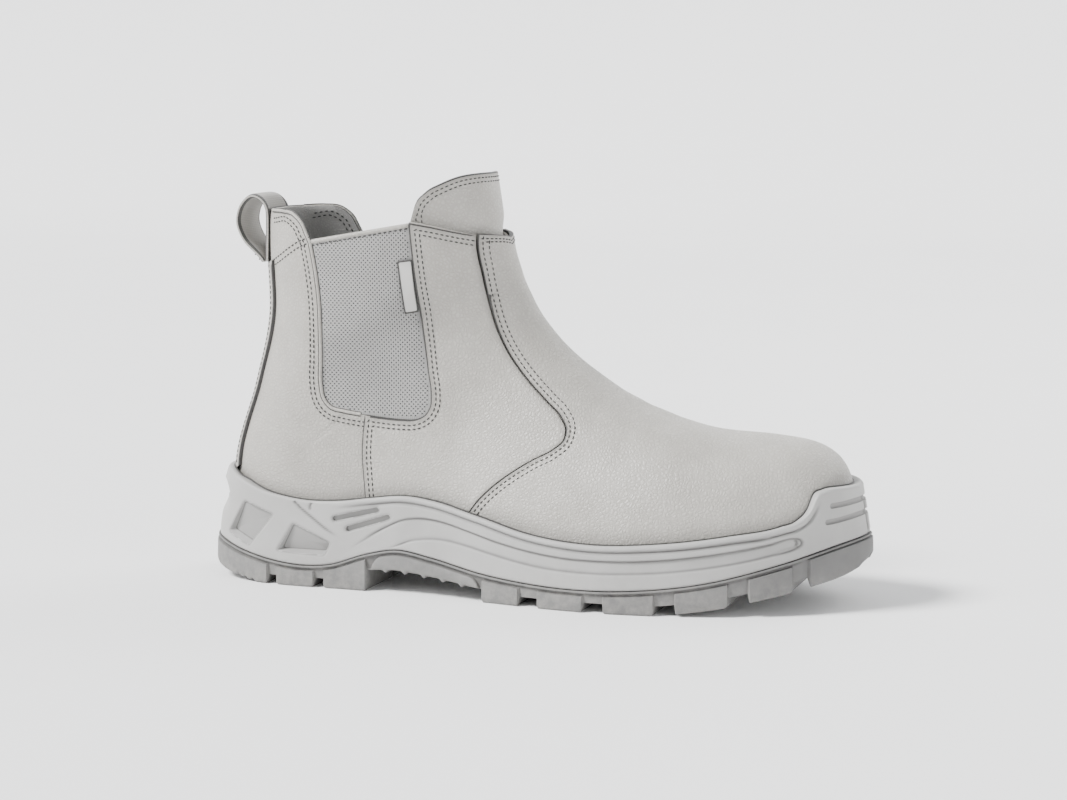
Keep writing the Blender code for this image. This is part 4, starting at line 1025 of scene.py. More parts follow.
class Effects:
    """Shader node groups that more than one finish uses, built once."""

    def __init__(self) -> None:
        """Builds every group."""
        self.grain = self._grain()
        self.tone = self._tone()
        self.weave = self._weave()
        self.dust = self._dust()

    @staticmethod
    def _grain() -> bpy.types.NodeTree:
        """Pebbled skin: small cells with soft creases between them, and a finer noise on top.

        Returns:
            The node group.
        """
        w = shader_group("pebble_grain")
        w.sockets("INPUT", ("Vector", "Vector"), ("Cells per metre", "Float", 900.0),
                  ("Unevenness", "Float", 0.35))
        w.sockets("OUTPUT", ("Height", "Float"), ("Crease", "Float"))
        start = w.node("NodeGroupInput")
        vector, cells = start.outputs["Vector"], start.outputs["Cells per metre"]
        warp = w.node("ShaderNodeTexNoise", {"Vector": vector, "Detail": 1.0})
        w.feed(warp.inputs["Scale"], w.math("MULTIPLY", cells, 0.35))
        drift = w.node("ShaderNodeVectorMath", operation="SCALE")
        w.feed(drift.inputs[0], warp.outputs["Color"])
        w.feed(drift.inputs["Scale"], w.math("DIVIDE", start.outputs["Unevenness"], cells))
        moved = w.node("ShaderNodeVectorMath", operation="ADD")
        w.feed(moved.inputs[0], vector)
        w.feed(moved.inputs[1], drift.outputs[0])
        pebbles = w.node("ShaderNodeTexVoronoi", {"Vector": moved.outputs[0], "Scale": cells},
                         feature="DISTANCE_TO_EDGE")
        fine = w.node("ShaderNodeTexNoise", {"Vector": vector, "Detail": 3.0})
        w.feed(fine.inputs["Scale"], w.math("MULTIPLY", cells, 2.2))
        domed = w.span(pebbles.outputs["Distance"], 0.0, 0.32, 0.0, 1.0)
        end = w.node("NodeGroupOutput")
        w.feed(end.inputs["Height"], w.math("ADD", domed, w.math("MULTIPLY", fine.outputs["Fac"], 0.35)))
        w.feed(end.inputs["Crease"], w.math("SUBTRACT", 1.0, domed))
        return w.tree

    @staticmethod
    def _tone() -> bpy.types.NodeTree:
        """Slow change of tone over a surface, between two colours, mixed towards a dark colour by painted
        shade.

        Returns:
            The node group.
        """
        w = shader_group("slow_tone")
        w.sockets("INPUT", ("Vector", "Vector"), ("Patches per metre", "Float", 22.0), ("Light", "Color"),
                  ("Dark", "Color"), ("Grime", "Float", 0.0))
        w.sockets("OUTPUT", ("Colour", "Color"), ("Mask", "Float"))
        start = w.node("NodeGroupInput")
        patches = w.node("ShaderNodeTexNoise", {
            "Vector": start.outputs["Vector"], "Scale": start.outputs["Patches per metre"],
            "Detail": 4.0, "Roughness": 0.6,
        })
        mask = w.span(patches.outputs["Fac"], 0.35, 0.68, 0.0, 1.0)
        end = w.node("NodeGroupOutput")
        clean = w.mix(mask, start.outputs["Light"], start.outputs["Dark"])
        w.feed(end.inputs["Colour"], w.mix(start.outputs["Grime"], clean, rgba(PAINTED_SHADE_COLOUR)))
        w.feed(end.inputs["Mask"], mask)
        return w.tree

    @staticmethod
    def _weave() -> bpy.types.NodeTree:
        """Plain weave of two thread directions, from the first and second coordinate.

        Returns:
            The node group.
        """
        w = shader_group("plain_weave")
        w.sockets("INPUT", ("Vector", "Vector"), ("Warps per metre", "Float", 1100.0),
                  ("Wefts per metre", "Float", 1100.0))
        w.sockets("OUTPUT", ("Height", "Float"), ("Gap", "Float"))
        start = w.node("NodeGroupInput")
        split = w.node("ShaderNodeSeparateXYZ", {"Vector": start.outputs["Vector"]})
        turn = 2 * math.pi
        warps = w.math("MULTIPLY", start.outputs["Warps per metre"], turn)
        wefts = w.math("MULTIPLY", start.outputs["Wefts per metre"], turn)
        across = w.math("MULTIPLY", split.outputs["X"], warps)
        along = w.math("MULTIPLY", split.outputs["Y"], wefts)
        warp, weft = w.math("SINE", across), w.math("SINE", along)
        over = w.math("MULTIPLY", w.math("SINE", w.math("MULTIPLY", across, 0.5)),
                      w.math("SINE", w.math("MULTIPLY", along, 0.5)))
        threads = w.math("MAXIMUM", w.math("ADD", warp, over), w.math("SUBTRACT", weft, over))
        end = w.node("NodeGroupOutput")
        w.feed(end.inputs["Height"], w.span(threads, -1.0, 2.0, 0.0, 1.0))
        w.feed(end.inputs["Gap"], w.span(threads, -0.6, 0.5, 1.0, 0.0))
        return w.tree

    @staticmethod
    def _dust() -> bpy.types.NodeTree:
        """Pale dust that thins out with height above the floor.

        Returns:
            The node group.
        """
        w = shader_group("floor_dust")
        w.sockets("INPUT", ("Vector", "Vector"), ("Reach in metres", "Float", 0.02), ("Amount", "Float", 0.3))
        w.sockets("OUTPUT", ("Mask", "Float"))
        start = w.node("NodeGroupInput")
        split = w.node("ShaderNodeSeparateXYZ", {"Vector": start.outputs["Vector"]})
        share = w.math("DIVIDE", split.outputs["Z"], start.outputs["Reach in metres"])
        low = w.span(share, 0.0, 1.0, 1.0, 0.0)
        specks = w.node("ShaderNodeTexNoise", {
            "Vector": start.outputs["Vector"], "Scale": 260.0, "Detail": 5.0, "Roughness": 0.7,
        })
        mask = w.math("MULTIPLY", low, w.span(specks.outputs["Fac"], 0.38, 0.7, 0.0, 1.0))
        end = w.node("NodeGroupOutput")
        w.feed(end.inputs["Mask"], w.math("MULTIPLY", mask, start.outputs["Amount"]))
        return w.tree


def rgba(colour: Colour, share: float = 1.0) -> tuple[float, float, float, float]:
    """Colour times a share, with full cover."""
    return (*(share * channel for channel in colour), 1.0)


class Surface:
    """One material in the making: its shader, its coordinates and the effects placed in it."""

    def __init__(self, name: str, effects: Effects) -> None:
        """Starts a material.

        Args:
            name: Name of the material.
            effects: Shared node groups.
        """
        self.material = bpy.data.materials.new(name)
        self.material.use_nodes = True
        self.shader = self.material.node_tree.nodes["Principled BSDF"]
        self.wires = Wires(self.material.node_tree)
        self.effects = effects
        coords = self.wires.node("ShaderNodeTexCoord")
        self.place, self.map = coords.outputs["Object"], coords.outputs["UV"]

    def put(self, **values: object) -> None:
        """Sets or links inputs of the shader, named with underscores for spaces."""
        for name, value in values.items():
            self.wires.feed(self.shader.inputs[name.replace("_", " ")], value)

    def tone(self, light: Colour, dark: Colour, patches: float = 22.0) -> bpy.types.Node:
        """Places the slow change of tone, with the painted shade that the piece's own attribute gives.

        Args:
            light: Lighter tone.
            dark: Darker tone.
            patches: Patches of tone per metre.

        Returns:
            The placed effect.
        """
        shade_paint = self.wires.node("ShaderNodeAttribute", attribute_name=PAINTED_SHADE)
        return self.wires.node("ShaderNodeGroup", {
            "Vector": self.place, "Patches per metre": patches, "Light": rgba(light), "Dark": rgba(dark),
            "Grime": shade_paint.outputs["Fac"],
        }, node_tree=self.effects.tone)

    def grain(self, cell_mm: float) -> bpy.types.Node:
        """Places the pebbled skin with cells of a size."""
        values = {"Vector": self.place, "Cells per metre": 1000.0 / cell_mm}
        return self.wires.node("ShaderNodeGroup", values, node_tree=self.effects.grain)

    def bump(self, rise: bpy.types.NodeSocket, relief_mm: float, strength: float) -> None:
        """Feeds a height to the shader as relief of a depth."""
        values = {"Strength": strength, "Distance": relief_mm * MM, "Height": rise}
        self.put(Normal=self.wires.node("ShaderNodeBump", values).outputs["Normal"])


@dataclass(frozen=True)
class LeatherFinish:
    """Grained skin with a slow change of tone and a thin wax coat."""

    name: str
    light: Colour
    dark: Colour
    cell_mm: float = 1.7
    relief_mm: float = 0.26
    roughness: tuple[float, float] = (0.36, 0.58)
    coat: float = 0.12

    def material(self, effects: Effects) -> bpy.types.Material:
        """Builds the material from the shared effects.

        Args:
            effects: Shared node groups.

        Returns:
            The material.
        """
        skin = Surface(self.name, effects)
        w, grain, tone = skin.wires, skin.grain(self.cell_mm), skin.tone(self.light, self.dark)
        crease = w.math("MULTIPLY", grain.outputs["Crease"], 0.3)
        skin.put(
            Base_Color=w.mix(crease, tone.outputs["Colour"], rgba(self.dark, 0.6)),
            Roughness=w.span(grain.outputs["Crease"], 0.0, 1.0, *self.roughness),
            Coat_Weight=self.coat, Coat_Roughness=0.35,
        )
        skin.bump(grain.outputs["Height"], self.relief_mm, 0.6)
        return skin.material


@dataclass(frozen=True)
class MouldedFinish:
    """Moulded rubber or foam skin with a fine texture and dust near the floor."""

    name: str
    light: Colour
    dark: Colour
    dust: Colour
    cell_mm: float
    relief_mm: float
    roughness: tuple[float, float]
    dust_amount: float = 0.35
    dust_reach: float = 0.022

    def material(self, effects: Effects) -> bpy.types.Material:
        """Builds the material from the shared effects.

        Args:
            effects: Shared node groups.

        Returns:
            The material.
        """
        skin = Surface(self.name, effects)
        w, grain, tone = skin.wires, skin.grain(self.cell_mm), skin.tone(self.light, self.dark)
        dust = w.node("ShaderNodeGroup", {
            "Vector": skin.place, "Reach in metres": self.dust_reach, "Amount": self.dust_amount,
        }, node_tree=effects.dust)
        skin.put(
            Base_Color=w.mix(dust.outputs["Mask"], tone.outputs["Colour"], rgba(self.dust)),
            Roughness=w.span(tone.outputs["Mask"], 0.0, 1.0, *self.roughness),
        )
        skin.bump(grain.outputs["Height"], self.relief_mm, 0.5)
        return skin.material


class Threading(Enum):
    """Coordinates that a woven finish follows."""

    SIDE = "x and z of the boot"
    TAPE = "the piece's own map"
    LEVEL = "x and y of the boot"


@dataclass(frozen=True)
class WovenFinish:
    """Woven cloth, tape or elastic."""

    name: str
    thread: Colour
    gap: Colour
    warp_mm: float
    weft_mm: float
    relief_mm: float
    threading: Threading
    roughness: float = 0.85

    def material(self, effects: Effects) -> bpy.types.Material:
        """Builds the material from the shared effects.

        Args:
            effects: Shared node groups.

        Returns:
            The material.
        """
        cloth = Surface(self.name, effects)
        w, tone = cloth.wires, cloth.tone(self.thread, rgba(self.thread, 0.86)[:3], 60.0)
        upright = math.pi / 2 if self.threading is Threading.SIDE else 0.0
        place = cloth.map if self.threading is Threading.TAPE else cloth.place
        turned = w.node("ShaderNodeMapping", {"Vector": place, "Rotation": (-upright, 0.0, 0.0)})
        weave = w.node("ShaderNodeGroup", {
            "Vector": turned.outputs["Vector"], "Warps per metre": 1000.0 / self.warp_mm,
            "Wefts per metre": 1000.0 / self.weft_mm,
        }, node_tree=effects.weave)
        cloth.put(
            Base_Color=w.mix(weave.outputs["Gap"], tone.outputs["Colour"], rgba(self.gap)),
            Roughness=self.roughness, Sheen_Weight=0.15,
        )
        cloth.bump(weave.outputs["Height"], self.relief_mm, 0.6)
        return cloth.material


@dataclass(frozen=True)
class PaintFinish:
    """Thread, dot print, edge paint or floor paint with a slight change of tone."""

    name: str
    light: Colour
    dark: Colour
    roughness: float
    patches: float = 700.0

    def material(self, effects: Effects) -> bpy.types.Material:
        """Builds the material from the shared effects.

        Args:
            effects: Shared node groups.

        Returns:
            The material.
        """
        paint = Surface(self.name, effects)
        tone = paint.tone(self.light, self.dark, self.patches)
        paint.put(Base_Color=tone.outputs["Colour"], Roughness=self.roughness)
        paint.bump(tone.outputs["Mask"], 0.05, 0.3)
        return paint.material


@dataclass(frozen=True)
class Finishes:
    """Every finish of the boot and its floor."""

    leather: bpy.types.Material
    lining: bpy.types.Material
    edge: bpy.types.Material
    thread: bpy.types.Material
    dots: bpy.types.Material
    foam: bpy.types.Material
    recess: bpy.types.Material
    rubber: bpy.types.Material
    elastic: bpy.types.Material
    tape: bpy.types.Material
    selvedge: bpy.types.Material
    label: bpy.types.Material
    insole: bpy.types.Material
    floor: bpy.types.Material


PALETTE = {
    "leather": LeatherFinish("stone_leather", (0.43, 0.412, 0.378), (0.335, 0.318, 0.288)),
    "lining": LeatherFinish("lining_felt", (0.30, 0.295, 0.285), (0.25, 0.245, 0.235), 1.2, 0.18,
                            (0.85, 0.95), 0.0),
    # Dark paint on cut edges; the same finish makes the cords of painted shade in the creases at the rim and
    # beside the rolled edges.
    "edge": PaintFinish("edge_paint_and_shade", (0.045, 0.043, 0.04), (0.028, 0.027, 0.026), 0.55),
    "thread": PaintFinish("charcoal_thread", (0.040, 0.039, 0.038), (0.022, 0.022, 0.022), 0.7),
    "dots": PaintFinish("elastic_dots", (0.035, 0.035, 0.036), (0.022, 0.022, 0.022), 0.8),
    "foam": MouldedFinish("foam_skin", (0.37, 0.365, 0.355), (0.32, 0.315, 0.305), (0.46, 0.445, 0.42),
                          0.55, 0.035, (0.50, 0.62)),
    # Darker foam that the cuts take: painted shade in the windows, slots and toe grooves.
    "recess": MouldedFinish("foam_recess_shade", (0.275, 0.271, 0.263), (0.235, 0.231, 0.224), (0.34, 0.33, 0.31),
                            0.55, 0.035, (0.58, 0.7)),
    "rubber": MouldedFinish("sole_rubber", (0.165, 0.163, 0.158), (0.125, 0.123, 0.12), (0.33, 0.315, 0.29),
                            0.7, 0.05, (0.58, 0.72), 0.5),
    "elastic": WovenFinish("side_elastic", (0.325, 0.32, 0.31), (0.19, 0.187, 0.182), 1.0, 0.55, 0.10,
                           Threading.SIDE),
    "tape": WovenFinish("loop_tape", (0.37, 0.355, 0.328), (0.23, 0.22, 0.203), 1.3, 0.9, 0.14,
                        Threading.TAPE),
    "selvedge": WovenFinish("loop_selvedge", (0.07, 0.068, 0.065), (0.04, 0.039, 0.037), 1.3, 0.9, 0.14,
                            Threading.TAPE),
    "label": WovenFinish("label_tape", (0.56, 0.548, 0.525), (0.42, 0.41, 0.39), 0.5, 0.4, 0.05,
                         Threading.SIDE),
    "insole": WovenFinish("insole_cloth", (0.26, 0.26, 0.263), (0.16, 0.16, 0.163), 0.9, 0.9, 0.08,
                          Threading.LEVEL),
    "floor": PaintFinish("studio_floor", (0.88, 0.88, 0.88), (0.868, 0.868, 0.868), 0.9, 3.0),
}


def mixed_finishes() -> Finishes:
    """Makes every finish of the palette."""
    effects = Effects()
    return Finishes(**{part: finish.material(effects) for part, finish in PALETTE.items()})


# Repeats


def stitch_tree() -> bpy.types.NodeTree:
    """Geometry nodes that set a stitch at even steps along every row of a wire.

    Returns:
        The node tree.
    """
    w = Wires(bpy.data.node_groups.new("stitch_rows", "GeometryNodeTree"))
    w.sockets("INPUT", ("Rows", "Geometry"), ("Pitch", "Float", 0.0034), ("Length", "Float", 0.0025),
              ("Radius", "Float", 0.0003), ("Thread", "Material"))
    w.sockets("OUTPUT", ("Stitches", "Geometry"))
    start = w.node("NodeGroupInput")
    rows = w.node("GeometryNodeMeshToCurve", {"Mesh": start.outputs["Rows"]})
    spots = w.node("GeometryNodeCurveToPoints", mode="LENGTH")
    w.feed(spots.inputs["Curve"], rows.outputs["Curve"])
    w.feed(spots.inputs["Length"], start.outputs["Pitch"])
    bead = w.node("GeometryNodeMeshUVSphere", {"Segments": 8, "Rings": 6, "Radius": 1.0})
    size = w.node("ShaderNodeCombineXYZ", {"X": start.outputs["Radius"], "Y": start.outputs["Radius"]})
    w.feed(size.inputs["Z"], w.math("MULTIPLY", start.outputs["Length"], 0.5))
    sewn = w.node("GeometryNodeInstanceOnPoints", {
        "Points": spots.outputs["Points"], "Instance": bead.outputs["Mesh"],
        "Rotation": spots.outputs["Rotation"], "Scale": size.outputs["Vector"],
    })
    finish_tree(w, sewn.outputs["Instances"], start.outputs["Thread"], "Stitches")
    return w.tree


def dot_tree() -> bpy.types.NodeTree:
    """Geometry nodes that set a flat dot on every point, turned by the point's own outward direction.

    Returns:
        The node tree.
    """
    w = Wires(bpy.data.node_groups.new("elastic_dot_field", "GeometryNodeTree"))
    w.sockets("INPUT", ("Points", "Geometry"), ("Radius", "Float", 0.0004), ("Depth", "Float", 0.0001),
              ("Print", "Material"))
    w.sockets("OUTPUT", ("Dots", "Geometry"))
    start = w.node("NodeGroupInput")
    outward = w.node("GeometryNodeInputNamedAttribute", {"Name": "outward"}, data_type="FLOAT_VECTOR")
    turn = w.node("FunctionNodeAlignRotationToVector", axis="Z")
    w.feed(turn.inputs["Vector"], outward.outputs["Attribute"])
    spots = w.node("GeometryNodeMeshToPoints", {"Mesh": start.outputs["Points"]})
    dot = w.node("GeometryNodeMeshUVSphere", {"Segments": 7, "Rings": 4, "Radius": 1.0})
    size = w.node("ShaderNodeCombineXYZ", {
        "X": start.outputs["Radius"], "Y": start.outputs["Radius"], "Z": start.outputs["Depth"],
    })
    placed = w.node("GeometryNodeInstanceOnPoints", {
        "Points": spots.outputs["Points"], "Instance": dot.outputs["Mesh"],
        "Rotation": turn.outputs["Rotation"], "Scale": size.outputs["Vector"],
    })
    finish_tree(w, placed.outputs["Instances"], start.outputs["Print"], "Dots")
    return w.tree


def finish_tree(w: Wires, instances: bpy.types.NodeSocket, paint: bpy.types.NodeSocket, name: str) -> None:
    """Ends a tree: instances become a mesh with one finish.

    Args:
        w: Wires of the tree.
        instances: The placed instances.
        paint: The finish.
        name: Name of the tree's output.
    """
    real = w.node("GeometryNodeRealizeInstances", {"Geometry": instances})
    smooth = w.node("GeometryNodeSetShadeSmooth", {"Geometry": real.outputs["Geometry"]})
    painted = w.node("GeometryNodeSetMaterial", {"Geometry": smooth.outputs["Geometry"], "Material": paint})
    end = w.node("NodeGroupOutput")
    w.feed(end.inputs[name], painted.outputs["Geometry"])


def grown(name: str, host: bpy.types.Mesh, tree: bpy.types.NodeTree,
          values: dict[str, object]) -> bpy.types.Object:
    """Runs a geometry node tree on a host mesh and keeps the result as a plain mesh.

    Args:
        name: Name of the piece.
        host: Mesh that the tree starts from.
        tree: The geometry node tree.
        values: Values of the tree's named inputs.

    Returns:
        The piece, linked to the scene.
    """
    carrier = linked(name + "_host", host)
    modifier = carrier.modifiers.new("grow", "NODES")
    modifier.node_group = tree
    for item in tree.interface.items_tree:
        if item.in_out == "INPUT" and item.name in values:
            modifier[item.identifier] = values[item.name]
    bpy.context.view_layer.update()
    graph = bpy.context.evaluated_depsgraph_get()
    mesh = bpy.data.meshes.new_from_object(carrier.evaluated_get(graph))
    carrier.modifiers.remove(modifier)
    bpy.data.objects.remove(carrier)
    return linked(name, mesh)


class Stitching:
    """Gathers the rows of one colour of thread and sews them as one piece per part of the boot."""

    def __init__(self, thread: bpy.types.Material) -> None:
        """Starts with no rows.

        Args:
            thread: Material of the thread.
        """
        self.thread = thread
        self.tree = stitch_tree()
        self.rows: list[Array] = []

    def row(self, line: Array) -> None:
        """Adds a row of places on a surface."""
        self.rows.append(line)

    def sew(self, name: str, pitch: float = 2.4, length: float = 1.7, radius: float = 0.33) -> None:
        """Makes the gathered rows a piece.

        Args:
            name: Name of the piece.
            pitch: Step from stitch to stitch.
            length: Length of a stitch.
            radius: Half the thread's thickness.
        """
        points = in_model(np.vstack(self.rows))
        edges = []
        first = 0
        for line in self.rows:
            edges += [(first + k, first + k + 1) for k in range(len(line) - 1)]
            first += len(line)
        host = bpy.data.meshes.new(name + "_rows")
        host.from_pydata(points.tolist(), edges, [])
        values = {"Pitch": pitch * MM, "Length": length * MM, "Radius": radius * MM, "Thread": self.thread}
        settle(grown(name, host, self.tree, values), "pale_leather")
        self.rows = []


# Upper


VAMP_ROWS = (1.7, 3.7)
VAMP_TOP_ROWS = (2.2, 3.8)
QUARTER_ROWS = (2.4, 4.3)
BACK_ROWS = (3.3, 5.2)
FLAP_ROWS = (2.3, 4.2)
PAINTED_EDGE = 0.65
LEATHER_LIFT = 0.05
QUARTER_FACE = 1.55
VAMP_FACE = 2.05
GORE_FACE = -0.5
RIM_TUCK = 4.0
COLLAR_ROWS = (9.5, 12.98)
LINING_ROWS = (0.0, 2.4)
FLEX_CREASES = ((194.0, 0.10, 0.25), (206.0, -0.06, 0.34), (219.0, 0.04, 0.22))
STITCH_STEP = 0.8
THREAD_SINK = 0.05
NOTCH_REACH = (6.0, 70.0)
NOTCH_TOP = 185.0


def pucker(distance: Array, rows: tuple[float, ...]) -> Array:
    """Depth of the shallow trough that the thread pulls along each stitch row."""
    return sum(0.16 * bell(distance - row, 0.7) for row in rows)


def edge_shade(distance: Array) -> Array:
    """Share of painted shade along a panel's edge."""
    return 0.35 * bell(distance, 1.6)


def rim_shade(points: Array) -> Array:
    """Share of painted shade on the leather just above the midsole's rim, where the two meet."""
    above = np.maximum(points[..., 2] - height(RIM, points[..., 0]), 0.0)
    return 0.4 * bell(above, 4.5)


def softness(points: Array) -> Array:
    """Slow swell of soft leather, a few tenths of a millimetre.

    Args:
        points: Places on the surface.

    Returns:
        The swell at each place.
    """
    x, y, z = points[..., 0], points[..., 1], points[..., 2]
    slow = np.sin(x / 13.0 + 1.3 * np.sin(z / 17.0)) * np.sin(z / 11.0 + y / 19.0)
    fine = np.sin(x / 5.3 - z / 7.1) * np.sin(z / 4.7 + y / 6.0)
    return 0.16 * slow + 0.05 * fine


@dataclass
class SidePanel:
    """Panel cut to an outline seen from the side and laid on the last, with a rounded edge."""

    name: str
    outline: Array
    side: Side
    foot: float
    face: float
    edge_radius: float = 0.45
    spacing: float = 2.6
    sewn: Array | None = None
    soft: bool = True
    rings: tuple[float, ...] = (0.25, 0.65, 1.1, 1.7, 2.4, 3.3, 4.3, 5.3)

    def _flat(self) -> tuple[Array, list[tuple[int, ...]]]:
        """Triangulated panel in the side view, with close rows of points along its edge.

        Returns:
            The points, and the faces as point numbers.
        """
        outline = self.outline
        closed = closed_line(outline)
        area = np.sum(outline[:, 0] * np.roll(outline[:, 1], -1) - outline[:, 1] * np.roll(outline[:, 0], -1))
        parts = [outline]
        for ring in self.rings:
            line = beside(closed, -ring * np.sign(area))[:-1]
            keep = within(line, outline) & (gap_to_line(line, closed) > 0.94 * ring)
            parts.append(line[keep])
        low, high = outline.min(axis=0), outline.max(axis=0)
        columns, rows = (np.arange(a, b, self.spacing) for a, b in zip(low, high))
        grid = np.stack(np.meshgrid(columns, rows), -1).reshape(-1, 2)
        grid = grid[within(grid, outline)]
        parts.append(grid[gap_to_line(grid, closed) > self.rings[-1] + 0.5 * self.spacing])
        points = np.vstack(parts)
        edges = [(k, (k + 1) % len(outline)) for k in range(len(outline))]
        verts, _, faces, *_ = delaunay_2d_cdt([tuple(p) for p in points], edges, [], 1, 1e-6)
        return np.array([tuple(v) for v in verts]), [tuple(face) for face in faces]

    def build(self, finishes: list[bpy.types.Material]) -> bpy.types.Object:
        """Closed panel: face, rounded edge, wall and back.

        Args:
            finishes: Material of the face and of the wall.

        Returns:
            The piece.
        """
        flat, faces = self._flat()
        distance = gap_to_line(flat, closed_line(self.outline))
        s, v = LAST.find(flat[:, 0], flat[:, 1], self.side)
        base = LAST.point(s, v)
        normal = LAST.normal(s, v)
        face = self.face - rounded(distance, self.edge_radius)
        to_paint = distance
        if self.sewn is not None:
            to_paint = gap_to_line(flat, self.sewn)
            face = face - pucker(to_paint, QUARTER_ROWS)
        if self.soft:
            face = face + softness(base) * ramp(distance, 0.5, 9.0)
        sketch = Sketch()
        # Painted shade along the panel's edges and just above the midsole's rim.
        shade_paint = np.maximum(edge_shade(distance), rim_shade(base)) if self.soft else 0.0
        top = sketch.add(base + normal * face[:, None], shade_paint)
        back = sketch.add(base + normal * self.foot)
        for corners in faces:
            sketch.faces.append(tuple(int(top[k]) for k in corners))
            sketch.faces.append(tuple(int(back[k]) for k in reversed(corners)))
            painted = all(to_paint[k] < PAINTED_EDGE + 0.02 for k in corners)
            sketch.slots += [1 if painted else 0, 1]
        count = len(self.outline)
        for k in range(count):
            n = (k + 1) % count
            sketch.faces.append((int(top[k]), int(back[k]), int(back[n]), int(top[n])))
            sketch.slots.append(1)
        return sketch.build(self.name, finishes, weld=0.0005)


GORE_LINE = smooth_line(GORE, 1.0)
VAMP_LINE = smooth_line(VAMP_SEAM, 1.0)
REAR_LINE = smooth_line(QUARTER_SEAM, 1.2)
TAB_LINE = smooth_line(TAB_FRONT, 1.0)
TAB_TOP = np.array([(35.0, 170.2), (39.0, 170.3), (43.0, 170.3), (47.0, 169.9)])


def to_rim(line: Array, tuck: float = RIM_TUCK) -> Array:
    """The part of a seam above the level where panels end under the midsole's rim."""
    return line[line[:, 1] > height(RIM, line[:, 0]) - tuck]


